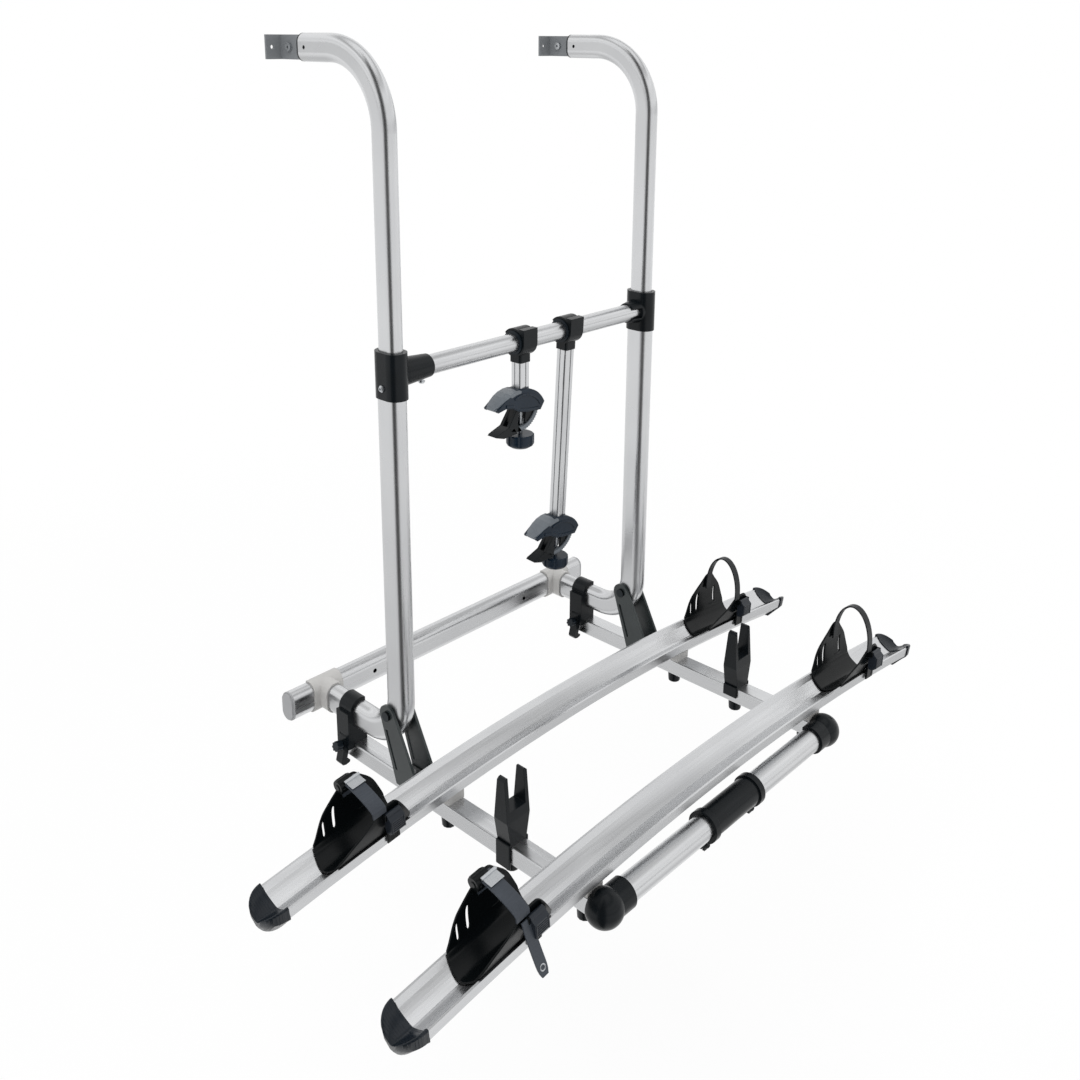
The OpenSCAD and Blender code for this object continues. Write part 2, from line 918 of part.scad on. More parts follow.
module short_arm_liner() { arm_liner(short_arm_x); }

module short_arm_clamp() { arm_clamp(short_arm_x, 0); }

module short_arm_tube() { arm_tube(short_arm_x, short_arm_reach, 0); }

module short_claw_hood() { claw_hood(short_arm_x, short_arm_reach, 0); }

module short_claw_jaw() { claw_jaw(short_arm_x, short_arm_reach, 0); }

module short_claw_knob() { claw_knob(short_arm_x, short_arm_reach, 0); }

module long_arm_liner() { arm_liner(long_arm_x); }

module long_arm_clamp() { arm_clamp(long_arm_x, long_arm_lean); }

module long_arm_tube() { arm_tube(long_arm_x, long_arm_reach, long_arm_lean); }

module long_claw_hood() { claw_hood(long_arm_x, long_arm_reach, long_arm_lean); }

module long_claw_jaw() { claw_jaw(long_arm_x, long_arm_reach, long_arm_lean); }

module long_claw_knob() { claw_knob(long_arm_x, long_arm_reach, long_arm_lean); }

// Platform

module base_section(inset) {
  round_rectangle(base_width - 2 * inset, base_height - 2 * inset, base_corner - inset / 2);
}

base_front = front_distance + front_end_inset;

module base_bar(side) {
  length = base_front - base_rear;
  color("silver")
    translate([side * upright_x, -base_rear - length / 2, base_z])
      difference() {
        rotate([90, 0, 0])
          linear_extrude(length, center = true)
            difference() {
              base_section(0);
              base_section(base_wall);
            }
        for (distance = [rear_rail_distance, fork_distance, front_rail_distance])
          translate([0, base_rear + length / 2 - distance, 0])
            cylinder(r = bolt_radius, h = base_height + overrun, center = true);
        translate([0, base_rear + length / 2 + pivot_y - cheek_bolt_reach, 0])
          x_cylinder(bolt_radius, base_width + overrun);
      }
}

module base_bar_left() { base_bar(-1); }

module base_bar_right() { base_bar(1); }

module base_bar_caps() {
  color("#1d2326")
    at_uprights()
      translate([0, -base_rear, base_z])
        rotate([90, 0, 0]) {
          linear_extrude(cap_spigot)
            base_section(base_wall);
          translate([0, 0, -cap_plate])
            linear_extrude(cap_plate)
              base_section(0);
        }
}

// The side plates that carry the platform from the fold pins.
module pivot_cheeks() {
  pivot = [pivot_y, pivot_height];
  foot_z = base_z - cheek_foot_drop;
  rear_foot = [pivot_y - cheek_rear_reach, foot_z];
  front_foot = [pivot_y - cheek_front_reach, foot_z];
  shoulder = [pivot_y - cheek_shoulder_reach, pivot_height - cheek_shoulder_drop];
  color("#1d2326")
    at_uprights()
      for (side = [-1, 1])
        translate([side * (base_width + cheek_thickness) / 2, 0, 0])
          side_plane()
            linear_extrude(cheek_thickness, center = true)
              difference() {
                union() {
                  translate(pivot)
                    circle(r = cheek_head);
                  polygon([
                    pivot,
                    tangent_point(pivot, cheek_head, shoulder, -1),
                    shoulder,
                    front_foot,
                    rear_foot,
                    tangent_point(pivot, cheek_head, rear_foot, 1)
                  ]);
                }
                translate(pivot)
                  circle(r = pivot_radius);
                translate([pivot_y - cheek_bolt_reach, base_z])
                  circle(r = bolt_radius);
                translate([pivot_y, pivot_height - cheek_slit_drop])
                  polygon([
                    [-cheek_slit_lean, -cheek_slit_length],
                    [slit_width - cheek_slit_lean, -cheek_slit_length],
                    [slit_width, 0],
                    [0, 0]
                  ]);
              }
}

// The pins that the platform folds on, and the bolts that hold the cheeks.
module pivot_pins() {
  reach = base_width / 2 + cheek_thickness;
  color("lightslategray")
    at_uprights() {
      translate([0, pivot_y, pivot_height]) {
        x_cylinder(pivot_radius, 2 * reach);
        for (side = [-1, 1])
          translate([side * (reach + pin_head_height / 2), 0, 0])
            x_cylinder(pin_head_radius, pin_head_height);
      }
      translate([0, pivot_y - cheek_bolt_reach, base_z]) {
        x_cylinder(bolt_radius, 2 * reach);
        for (side = [-1, 1])
          translate([side * (reach + small_head_height / 2), 0, 0])
            x_cylinder(small_head_radius, small_head_height);
      }
    }
}

rail_half = rail_width / 2;
arch_turn = 2 * asin(rail_length / 2 / rail_arch_radius);

// The arch's centre, which keeps the rails' keels just above the base bars.
arch_z = saddle_floor - base_drop
  - sqrt(pow(rail_arch_radius - rail_depth, 2) - pow(upright_x + base_width / 2, 2));

// The floor of the wheel trough: a rounded V between the two creases.
function trough_points(grow) =
  let (crease_y = rail_half * crease_y_share)
  [for (index = [-trough_steps:trough_steps])
    let (share = index / trough_steps)
    [-crease_depth - (trough_depth - crease_depth) * (1 - pow(abs(share), 1.4)) + grow,
      share * crease_y]];

// The closed outline of a rail; x is the height from the rims, y is across.
function rail_points(grow) =
  let (flange = -rail_depth * flange_share)
  let (keel = -rail_depth)
  concat(
    [[keel - grow, -keel_half + keel_rise], [keel + keel_rise - grow, -keel_half - grow],
      [flange - grow, -rail_half * flange_lean_share - grow],
      [grow, -rail_half - grow], [grow, -rail_half + rim_width + grow]],
    trough_points(grow),
    [[grow, rail_half - rim_width - grow], [grow, rail_half + grow],
      [flange - grow, rail_half * flange_lean_share + grow],
      [keel + keel_rise - grow, keel_half + grow], [keel - grow, keel_half - keel_rise]]
  );

// The hollow inside a rail, under the trough.
function rail_hollow_points() =
  let (flange = -rail_depth * flange_share)
  let (keel = -rail_depth + rail_wall)
  let (side_y = rail_half * flange_lean_share - rail_wall)
  let (crease_y = rail_half * crease_y_share)
  concat(
    [[keel, -keel_half + rail_wall], [flange + rail_wall / 2, -side_y],
      [-crease_depth - rail_wall, -side_y]],
    [for (index = [-trough_steps + 1:trough_steps - 1])
      let (share = index / trough_steps)
      [-crease_depth - (trough_depth - crease_depth) * (1 - pow(abs(share), 1.4)) - rail_wall,
        share * crease_y]],
    [[-crease_depth - rail_wall, side_y], [flange + rail_wall / 2, side_y],
      [keel, keel_half - rail_wall]]
  );

// Sweeps a drawing (x up from the rims, y across) along the arch.
module sweep_arch(turn) {
  translate([0, 0, arch_z])
    rotate([90, 0, 0])
      rotate(90 - turn / 2)
        rotate_extrude(angle = turn, $fn = arch_facets)
          translate([rail_arch_radius, 0])
            children();
}

module rail(distance) {
  color("silver")
    translate([0, -distance, 0])
      difference() {
        sweep_arch(arch_turn)
          difference() {
            polygon(rail_points(0));
            polygon(rail_hollow_points());
          }
        for (side = [-1, 1])
          translate([side * upright_x, 0, -base_drop])
            cylinder(r = bolt_radius, h = 4 * bolt_radius, center = true);
      }
}

module rail_rear() { rail(rear_rail_distance); }

module rail_front() { rail(front_rail_distance); }

// Places a child, drawn at the top of the arch, at a distance along the rail.
module on_arch(x, distance) {
  translate([0, -distance, arch_z])
    rotate([0, asin(x / rail_arch_radius), 0])
      translate([0, 0, rail_arch_radius])
        children();
}

module rail_caps() {
  bulge_radius = (pow(rail_half, 2) + pow(rail_cap_bulge, 2)) / (2 * rail_cap_bulge) + rail_cap_bulge;
  color("#1d2326")
    for (distance = [rear_rail_distance, front_rail_distance])
      for (side = [-1, 1])
        on_arch(side * rail_length / 2, distance)
          intersection() {
            rotate([0, 0, side > 0 ? 0 : 180])
              rotate([0, 90, 0])
                linear_extrude(rail_cap_bulge)
                  mirror([1, 0])
                    polygon(rail_points(rail_cap_ring));
            translate([side * (rail_cap_bulge - bulge_radius), 0, -rail_depth / 2])
              sphere(r = bulge_radius, $fn = 96);
          }
}

// Blocks between the rails' keels and the base bars.
module rail_saddles() {
  block_z = saddle_height / 2 - base_drop;
  color("dimgray")
    for (distance = [rear_rail_distance, front_rail_distance])
      for (side = [-1, 1])
        difference() {
          translate([side * upright_x, -distance, block_z])
            cube([base_width, saddle_length, saddle_height], center = true);
          on_arch(side * upright_x, distance)
            rotate([90, 0, 90])
              linear_extrude(2 * base_width, center = true)
                rotate(90) polygon(rail_points(run_clearance));
          translate([side * upright_x, -distance, -base_drop])
            cylinder(r = bolt_radius, h = saddle_height, center = true);
        }
}

// A fork on a base bar that straddles the upright when the platform is folded up.
module fork(side) {
  width = fork_gap + 2 * prong_thickness;
  height = fork_top + base_drop;
  tip = prong_thickness / 2;
  color("#1d2326")
    translate([side * upright_x, -fork_distance, -base_drop])
      difference() {
        intersection() {
          front_plane()
            linear_extrude(fork_foot_depth + overrun, center = true)
              polygon([
                [-base_width / 2, 0],
                [base_width / 2, 0],
                [width / 2, base_drop + fork_flare],
                [width / 2, height - tip],
                [width / 2 - tip, height],
                [tip - width / 2, height],
                [-width / 2, height - tip],
                [-width / 2, base_drop + fork_flare]
              ]);
          side_plane()
            linear_extrude(width + overrun, center = true)
              polygon([
                [-fork_foot_depth / 2, 0],
                [fork_foot_depth / 2, 0],
                [fork_foot_depth / 2, base_drop + fork_flare],
                [fork_tip_depth / 2, height],
                [-fork_tip_depth / 2, height],
                [-fork_foot_depth / 2, base_drop + fork_flare]
              ]);
        }
        translate([0, 0, base_drop + fork_slot_bottom + fork_gap / 4])
          front_plane()
            linear_extrude(fork_foot_depth + 2 * overrun, center = true) {
              translate([-fork_gap / 2, 0])
                square([fork_gap, fork_top]);
              square([fork_gap, fork_gap / 2], center = true);
            }
        cylinder(r = bolt_radius, h = base_height, center = true);
      }
}

module fork_left() { fork(-1); }

module fork_right() { fork(1); }

// A ball-shaped elbow that joins a base bar to the front tube.
module elbow(side) {
  size = 4 * elbow_radius;
  tube_end = elbow_tube_inset;
  color("#1d2326")
    translate([side * upright_x, front_y, base_z])
      mirror([side > 0 ? 1 : 0, 0, 0])
        difference() {
          intersection() {
            union() {
              sphere(r = elbow_radius, $fn = 96);
              translate([elbow_socket_length / 2, 0, 0])
                x_cylinder(front_radius + elbow_wall, elbow_socket_length);
            }
            translate([0, elbow_trim - size / 2, 0])
              cube([size, size, size], center = true);
          }
          translate([0, size / 2 - front_end_inset, 0])
            rotate([90, 0, 0])
              linear_extrude(size, center = true)
                base_section(0);
          translate([tube_end + size / 2, 0, 0])
            x_cylinder(front_radius, size);
        }
}

module elbow_left() { elbow(-1); }

module elbow_right() { elbow(1); }

// The front tube is two halves that meet inside the sleeve.
module front_tube() {
  outer_end = upright_x - elbow_tube_inset;
  middle = (sleeve_left + sleeve_right) / 2;
  color("silver")
    for (side = [-1, 1]) {
      inner_end = middle + side * tube_half_gap / 2;
      translate([(side * outer_end + inner_end) / 2, front_y, base_z])
        difference() {
          x_cylinder(front_radius, abs(side * outer_end - inner_end));
          x_cylinder(front_radius - front_wall, abs(side * outer_end - inner_end) + overrun);
        }
    }
}

// The sleeve over the joint of the front tube, with a clamp lug at each end.
module front_tube_sleeve() {
  length = sleeve_right - sleeve_left;
  radius = front_radius + sleeve_wall;
  color("#1d2326")
    translate([(sleeve_left + sleeve_right) / 2, front_y, base_z])
      difference() {
        union() {
          x_cylinder(radius, length);
          for (side = [-1, 1])
            translate([side * (length - sleeve_rim_length) / 2, 0, 0]) {
              x_cylinder(radius + sleeve_rim, sleeve_rim_length);
              translate([0, 0, -(radius + lug_drop) / 2])
                cube([sleeve_rim_length, lug_thickness, radius + lug_drop], center = true);
            }
        }
        x_cylinder(front_radius, length + overrun);
        translate([0, 0, -radius])
          cube([length + overrun, lug_slit, 2 * (radius - front_wall)], center = true);
        for (side = [-1, 1])
          translate([side * (length - sleeve_rim_length) / 2, 0, -radius - lug_drop / 2])
            y_cylinder(screw_radius, lug_thickness + overrun);
      }
}

// A round knob-head bolt that runs up from under a base bar.
module knob_bolt(length) {
  translate([0, 0, -bolt_head_height])
    rotate_extrude()
      polygon([
        [0, 0],
        [bolt_head_radius - 2 * bolt_head_taper, 0],
        [bolt_head_radius - bolt_head_taper, bolt_head_taper],
        [bolt_head_radius, bolt_head_height - bolt_head_taper],
        [bolt_head_radius, bolt_head_height],
        [0, bolt_head_height]
      ]);
  cylinder(r = bolt_radius, h = length);
}

module platform_bolts() {
  color("#1a2022") {
    for (distance = [rear_rail_distance, fork_distance, front_rail_distance])
      for (side = [-1, 1])
        translate([side * upright_x, -distance, base_z - base_height / 2])
          knob_bolt(base_height + 2 * bolt_radius);
    for (side = [-1, 1])
      translate([(sleeve_left + sleeve_right) / 2
        + side * (sleeve_right - sleeve_left - sleeve_rim_length) / 2,
        front_y - lug_thickness / 2, base_z - front_radius - sleeve_wall - lug_drop / 2])
        rotate([90, 0, 0])
          button_screw(lug_thickness);
  }
}

// Wheel holders: drawn at the top of the arch, then placed along the rail

// The rear wall's outline: a long slope towards -X, a lug for the strap, a short slope.
module rear_wall_outline() {
  top = holder_rear_height;
  polygon([
    [-holder_left_reach, -skirt_depth],
    [-clip_reach, -skirt_depth],
    [-clip_reach, -clip_depth],
    [clip_reach, -clip_depth],
    [clip_reach, -skirt_depth],
    [holder_right_reach, -skirt_depth],
    [holder_right_reach, holder_short_end],
    [0.73 * holder_right_reach, 0.67 * top],
    [holder_lug_right + holder_start, top],
    [holder_lug_right, top + holder_lug_rise - holder_start],
    [holder_lug_right - holder_start, top + holder_lug_rise],
    [holder_lug_left + holder_start, top + holder_lug_rise],
    [holder_lug_left, top + holder_lug_rise - holder_start],
    [holder_lug_left - holder_start, top],
    [-0.23 * holder_left_reach, 0.64 * top],
    [-0.81 * holder_left_reach, holder_start],
    [-holder_left_reach, holder_start]
  ]);
}

// The front wall's outline: a low lip towards -X and an ear that carries the buckle.
module front_wall_outline() {
  top = holder_front_height;
  polygon([
    [-holder_left_reach, -skirt_depth],
    [-clip_reach, -skirt_depth],
    [-clip_reach, -clip_depth],
    [clip_reach, -clip_depth],
    [clip_reach, -skirt_depth],
    [holder_right_reach, -skirt_depth],
    [holder_right_reach, holder_short_end],
    [0.94 * holder_right_reach, top / 2],
    [0.74 * holder_right_reach, top - holder_start],
    [0.7 * holder_right_reach, top],
    [0.43 * holder_right_reach, top],
    [0.38 * holder_right_reach, top - holder_start],
    [0.15 * holder_right_reach, 0.24 * top],
    [-holder_left_reach, holder_start]
  ]);
}

// Slanted slits through the rear wall.
module wall_slits() {
  for (index = [0:2])
    translate([slit_first + index * slit_pitch, slit_low])
      polygon([
        [0, 0],
        [slit_width, 0],
        [slit_width + slit_lean, slit_high - slit_low],
        [slit_lean, slit_high - slit_low]
      ]);
}

// The section of a holder's floor; x is the height from the rims.
function floor_points(reach) =
  let (rim = rail_half - rim_width - gap)
  concat(
    [[holder_start, -reach]],
    trough_points(gap + floor_thickness),
    [[holder_start, reach], [2 * gap, reach], [2 * gap, rim]],
    [for (point = trough_points(gap)) [point[0], -point[1]]],
    [[2 * gap, -rim], [2 * gap, -reach]]
  );

module cradle(x, distance) {
  outer = rail_half + gap + skirt_wall;
  inner = outer - holder_wall;
  length = holder_left_reach + holder_right_reach;
  color("#252b2e")
    translate([0, -distance, 0])
      along_arch(x) {
        along_arch((holder_right_reach - holder_left_reach) / 2)
          sweep_arch(2 * asin((length / 2 - overrun) / rail_arch_radius))
            polygon(floor_points(inner + overrun));
        difference() {
          for (side = [-1, 1])
            translate([0, side * (outer + inner) / 2, arch_z + rail_arch_radius])
              front_plane()
                linear_extrude(holder_wall, center = true)
                  if (side > 0) {
                    difference() {
                      rear_wall_outline();
                      wall_slits();
                    }
                  } else {
                    front_wall_outline();
                  }
          sweep_arch(4 * asin(length / 2 / rail_arch_radius))
            polygon(rail_points(gap));
        }
        translate([0, -outer, arch_z + rail_arch_radius])
          buckle_ears();
      }
}

// Turns a piece drawn at the middle of a rail about the arch's centre.
module along_arch(x) {
  translate([0, 0, arch_z])
    rotate([0, asin(x / rail_arch_radius), 0])
      translate([0, 0, -arch_z])
        children();
}

buckle_z = holder_front_height - lever_lift - 2 * lever_pin_radius;

// Two ears on the outside of the front wall that carry the lever's pin.
module buckle_ears() {
  for (side = [-1, 1])
    translate([buckle_x + side * (buckle_width / 2 + gap + strap_thickness / 2),
      -lever_lift / 2, buckle_z]) {
      cube([strap_thickness, lever_lift, 4 * lever_pin_radius], center = true);
      translate([-side * (strap_thickness + gap) / 2, lever_lift / 2 - 2 * lever_pin_radius - gap, 0])
        x_cylinder(lever_pin_radius - run_clearance, strap_thickness * 2);
    }
}

// The lever that draws a strap tight; it turns on the ears' stubs.
module buckle(x, distance) {
  outer = rail_half + gap + skirt_wall;
  pin_y = -outer - 2 * lever_pin_radius - gap;
  eye = 2 * lever_pin_radius;
  tip_z = buckle_z - buckle_length;
  color("#2d3437")
    translate([0, -distance, 0])
      along_arch(x)
        translate([buckle_x, 0, arch_z + rail_arch_radius])
          side_plane()
            linear_extrude(buckle_width, center = true)
              difference() {
                union() {
                  translate([pin_y, buckle_z])
                    circle(r = eye);
                  polygon([
                    [pin_y + eye, buckle_z],
                    [pin_y - eye, buckle_z],
                    [pin_y - buckle_height, buckle_z - eye],
                    [pin_y - buckle_height, tip_z + eye],
                    [pin_y - eye, tip_z],
                    [pin_y + eye / 2, tip_z],
                    [pin_y + eye, tip_z + eye]
                  ]);
                }
                translate([pin_y, buckle_z])
                  circle(r = lever_pin_radius);
              }
}

// A strap from the rear wall's lug, over the wheel, to the outside of the front wall.
module strap(x, distance, width, rise) {
  color("slategray")
    translate([0, -distance, 0])
      along_arch(x)
        translate([strap_x, 0, arch_z + rail_arch_radius])
          side_plane()
            linear_extrude(width, center = true)
              strap_profile(rise);
}

// The strap's line as a half ellipse between the two walls, with straight ends.
module strap_profile(rise) {
  steps = 20;
  outer = rail_half + gap + skirt_wall;
  rear_y = outer - holder_wall - gap;
  front_y = -outer - gap - strap_thickness;
  half = (rear_y - front_y) / 2;
  middle = (rear_y + front_y) / 2;
  front_spring = holder_front_height + gap;
  front_low = buckle_z + 2 * lever_pin_radius + overrun;
  slope = (strap_rear_spring - front_spring) / 2;
  function line(t, r) = [middle + (half - r) * cos(t),
    strap_rear_spring + (cos(t) - 1) * slope + (rise - r) * sin(t)];
  polygon(concat(
    [[rear_y, strap_rear_low]],
    [for (index = [0:steps]) line(index * 180 / steps, 0)],
    [[front_y, front_low], [front_y + strap_thickness, front_low]],
    [for (index = [steps:-1:0]) line(index * 180 / steps, strap_thickness)],
    [[rear_y - strap_thickness, strap_rear_low]]
  ));
}

module cradle_rear_left() { cradle(left_holder_x, rear_rail_distance); }

module cradle_rear_right() { cradle(right_holder_x, rear_rail_distance); }

module cradle_front_left() { cradle(left_holder_x, front_rail_distance); }

module cradle_front_right() { cradle(right_holder_x, front_rail_distance); }

module strap_rear_left() { folded_strap(rear_rail_distance); }

module strap_rear_right() { loop_strap(rear_rail_distance); }

module strap_front_left() { folded_strap(front_rail_distance); }

module strap_front_right() { loop_strap(front_rail_distance); }

module folded_strap(distance) {
  strap(left_holder_x, distance, strap_width, strap_fold_rise);
}

module loop_strap(distance) {
  strap(right_holder_x, distance, loop_width, strap_arch_rise);
}

module buckle_rear_left() { buckle(left_holder_x, rear_rail_distance); }

module buckle_rear_right() { buckle(right_holder_x, rear_rail_distance); }

module buckle_front_left() { buckle(left_holder_x, front_rail_distance); }

module buckle_front_right() { buckle(right_holder_x, front_rail_distance); }

// Latches: each grips its foot tube from the -X side and hooks under the base bar

// The fixed part: a finger over the tube, a spine, and a spacer above the bar.
module latch_saddles() {
  inner = lower_width / 2;
  outer = inner + tube_grip;
  straight = (lower_depth - lower_width) / 2;
  spine_out = inner + latch_spine;
  color("#1a2022")
    at_uprights()
      translate([0, -latch_distance, 0]) {
        difference() {
          front_plane()
            linear_extrude(latch_width, center = true)
              difference() {
                union() {
                  translate([0, straight])
                    circle(r = outer);
                  translate([-outer, -base_drop])
                    square([outer, base_drop + straight]);
                  translate([-spine_out, -ear_bottom])
                    square([latch_spine, ear_bottom + straight]);
                  translate([-outer, -base_drop])
                    square([outer + inner - grip_reach / 2, base_drop - straight]);
                }
                stadium(lower_width, lower_depth);
                translate([grip_reach, -straight])
                  square([2 * outer, base_drop + 2 * outer], center = false);
                translate([-base_width / 2 - gap, -ear_bottom - overrun])
                  square([4 * inner, ear_bottom + overrun - base_drop]);
              }
          translate([-spine_out + latch_spine / 2, 0, -latch_pivot_drop - base_drop / 2 + hook_eye + gap])
            cube([latch_spine + overrun, latch_width - 2 * latch_ear, base_drop], center = true);
        }
        translate([-latch_pivot_u, 0, -latch_pivot_drop])
          y_cylinder(latch_pin_radius, latch_width);
      }
}

module at_latch(side, angle) {
  translate([side * upright_x - latch_pivot_u, -latch_distance, -latch_pivot_drop])
    rotate([0, angle, 0])
      children();
}

// The hook that swings on the saddle's pin and closes under the base bar.
module latch_hook(side) {
  thickness = latch_width - 2 * latch_ear - 2 * gap;
  top = latch_pivot_drop - base_drop - base_height - hook_clear;
  inner = latch_pivot_u - base_width / 2 - hook_clear;
  back = inner - latch_spine + overrun;
  color("#202628")
    at_latch(side, latch_rest_angle)
      difference() {
        front_plane()
          linear_extrude(thickness, center = true) {
            circle(r = hook_eye);
            polygon([
              [inner, 0],
              [-hook_eye, 0],
              [back, -hook_eye],
              [back, top - hook_finger / 2],
              [back + hook_finger / 2, top - hook_finger],
              [inner, top - hook_finger],
              [latch_pivot_u - hook_finger_end, top - hook_finger / 2],
              [latch_pivot_u - hook_finger_end, top],
              [inner, top]
            ]);
          }
        y_cylinder(latch_pin_radius + run_clearance, thickness + overrun);
        translate([back, 0, latch_pivot_drop - latch_knob_drop])
          x_cylinder(latch_stud_radius + run_clearance, latch_spine);
      }
}

module latch_hook_left() { latch_hook(-1); }

module latch_hook_right() { latch_hook(1); }

// A small turning knob on a stud through the side of a latch hook.
module latch_knob(side) {
  inner = latch_pivot_u - base_width / 2 - hook_clear;
  back = inner - latch_spine + overrun;
  stud = latch_spine / 2 + latch_stud_gap;
  color("#2a3032")
    at_latch(side, latch_rest_angle)
      translate([back, 0, latch_pivot_drop - latch_knob_drop])
        rotate([0, -90, 0]) {
          translate([0, 0, latch_stud_gap])
            difference() {
              cylinder(r = latch_knob_radius, h = latch_knob_length);
              for (index = [1:knob_lobes])
                rotate(index * 360 / knob_lobes)
                  translate([latch_knob_radius + latch_stud_radius / 2, 0, -overrun])
                    cylinder(r = latch_stud_radius, h = latch_knob_length + 2 * overrun);
            }
          translate([0, 0, latch_stud_gap - stud])
            cylinder(r = latch_stud_radius, h = stud + overrun);
        }
}

module latch_knob_left() { latch_knob(-1); }

module latch_knob_right() { latch_knob(1); }

wall_bar();
wall_bar_caps();
foot_collars();
lower_upright_left();
lower_upright_right();
upright_joint_left();
upright_joint_right();
crossbar();
frame_screws();
latch_saddles();
upper_upright_left();
upper_upright_right();
upright_plugs();
wall_brackets();
bracket_bolts();
short_arm_liner();
short_arm_clamp();
short_arm_tube();
short_claw_hood();
short_claw_jaw();
short_claw_knob();
long_arm_liner();
long_arm_clamp();
long_arm_tube();
long_claw_hood();
long_claw_jaw();
long_claw_knob();
base_bar_left();
base_bar_right();
base_bar_caps();
pivot_cheeks();
pivot_pins();
rail_rear();
rail_front();
rail_caps();
rail_saddles();
fork_left();
fork_right();
elbow_left();
elbow_right();
front_tube();
front_tube_sleeve();
platform_bolts();
cradle_rear_left();
strap_rear_left();
buckle_rear_left();
cradle_rear_right();
strap_rear_right();
buckle_rear_right();
cradle_front_left();
strap_front_left();
buckle_front_left();
cradle_front_right();
strap_front_right();
buckle_front_right();
latch_hook_left();
latch_hook_right();
latch_knob_left();
latch_knob_right();
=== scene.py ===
"""Looks of a motorhome bike rack: finishes, wheel straps and small fittings.

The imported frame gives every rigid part. This script gives each of them the finish
of its real material, puts thin moulded shells, straps and jaws in place of the
plain solids, adds the small fittings, and sets up the studio and the camera.

Lengths are in metres, mostly written as millimetres times MM. X runs along the
wheel rails, +Y points to the vehicle wall and +Z is up. Main places come from the
packed joints and nodes.
"""

from __future__ import annotations

import json
import logging
import math
from abc import ABC, abstractmethod
from dataclasses import dataclass
from enum import Enum
from typing import Any, Mapping, Sequence, Union

import bmesh
import bpy
from mathutils import Matrix, Vector

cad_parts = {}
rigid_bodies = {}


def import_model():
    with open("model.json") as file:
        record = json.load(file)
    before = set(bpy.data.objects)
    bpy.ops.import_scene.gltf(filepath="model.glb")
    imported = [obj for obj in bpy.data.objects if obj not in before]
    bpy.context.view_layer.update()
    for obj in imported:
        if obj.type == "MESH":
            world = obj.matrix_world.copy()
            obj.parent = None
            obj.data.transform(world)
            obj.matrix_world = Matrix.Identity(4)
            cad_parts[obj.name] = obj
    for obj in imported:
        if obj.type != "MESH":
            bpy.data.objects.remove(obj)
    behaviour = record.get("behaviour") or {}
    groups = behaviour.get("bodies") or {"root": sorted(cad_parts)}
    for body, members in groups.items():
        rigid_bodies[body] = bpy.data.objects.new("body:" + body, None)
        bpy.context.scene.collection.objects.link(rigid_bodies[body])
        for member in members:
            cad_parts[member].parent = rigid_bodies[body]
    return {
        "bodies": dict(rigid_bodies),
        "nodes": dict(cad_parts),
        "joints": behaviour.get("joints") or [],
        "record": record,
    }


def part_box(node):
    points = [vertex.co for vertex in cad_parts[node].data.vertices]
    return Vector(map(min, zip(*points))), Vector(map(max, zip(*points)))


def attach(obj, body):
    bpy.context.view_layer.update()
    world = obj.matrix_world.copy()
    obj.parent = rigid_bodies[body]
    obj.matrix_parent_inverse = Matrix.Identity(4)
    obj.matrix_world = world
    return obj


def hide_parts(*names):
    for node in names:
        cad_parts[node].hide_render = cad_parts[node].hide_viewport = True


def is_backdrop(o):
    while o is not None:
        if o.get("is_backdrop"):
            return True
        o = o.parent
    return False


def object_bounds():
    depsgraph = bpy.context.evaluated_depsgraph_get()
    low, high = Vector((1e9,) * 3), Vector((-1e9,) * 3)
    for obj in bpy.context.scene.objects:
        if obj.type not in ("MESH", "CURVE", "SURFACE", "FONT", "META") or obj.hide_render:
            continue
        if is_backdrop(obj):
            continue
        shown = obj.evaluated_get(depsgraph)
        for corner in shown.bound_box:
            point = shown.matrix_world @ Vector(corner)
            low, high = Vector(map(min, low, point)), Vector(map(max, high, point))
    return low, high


LOG = logging.getLogger("bike_rack")
MM = 0.001
ARCH_RADIUS = 4475 * MM  # of the wheel rails, at their rims
WELD = 0.001 * MM  # corners closer than this are one
X_AXIS = Vector((1, 0, 0))
Y_AXIS = Vector((0, 1, 0))

Colour = tuple[float, float, float, float]
Outline = Sequence[tuple[float, float]]
Size = tuple[float, float, float]
SocketValue = Union[bpy.types.NodeSocket, float, Sequence[float]]


def linear_colour(code: str) -> Colour:
    """Turns an sRGB hex colour into linear light.

    Args:
        code: The colour as #RRGGBB.

    Returns:
        Red, green, blue and an alpha of 1, in linear light.
    """
    levels = [int(code[place:place + 2], 16) / 255 for place in (1, 3, 5)]
    red, green, blue = (
        level / 12.92 if level <= 0.04045 else ((level + 0.055) / 1.055) ** 2.4
        for level in levels
    )
    return (red, green, blue, 1.0)


def frequency(spot: float) -> float:
    """The scale at which a noise's spots are about a size across."""
    return 1 / (2 * spot)


def add_node(
    tree: bpy.types.NodeTree,
    kind: str,
    inputs: Mapping[Union[str, int], SocketValue] | None = None,
    **settings: object,
) -> bpy.types.Node:
    """Adds a node with its settings, input values and links.

    Args:
        tree: The node tree of a material or of the world.
        kind: The node's type.
        inputs: A value, or the output socket to link, for each input.
        settings: The node's own properties.

    Returns:
        The new node.
    """
    node = tree.nodes.new(kind)
    for name, value in settings.items():
        setattr(node, name, value)
    for key, value in (inputs or {}).items():
        if isinstance(value, bpy.types.NodeSocket):
            tree.links.new(value, node.inputs[key])
        else:
            node.inputs[key].default_value = value
    return node


class Run(Enum):
    """The directions that an extrusion's die lines follow."""

    ALONG_X = (1, 0, 0)
    ALONG_Y = (0, 1, 0)
    ALONG_Z = (0, 0, 1)
    ROUND_A_BEND = (0, 1, 1)


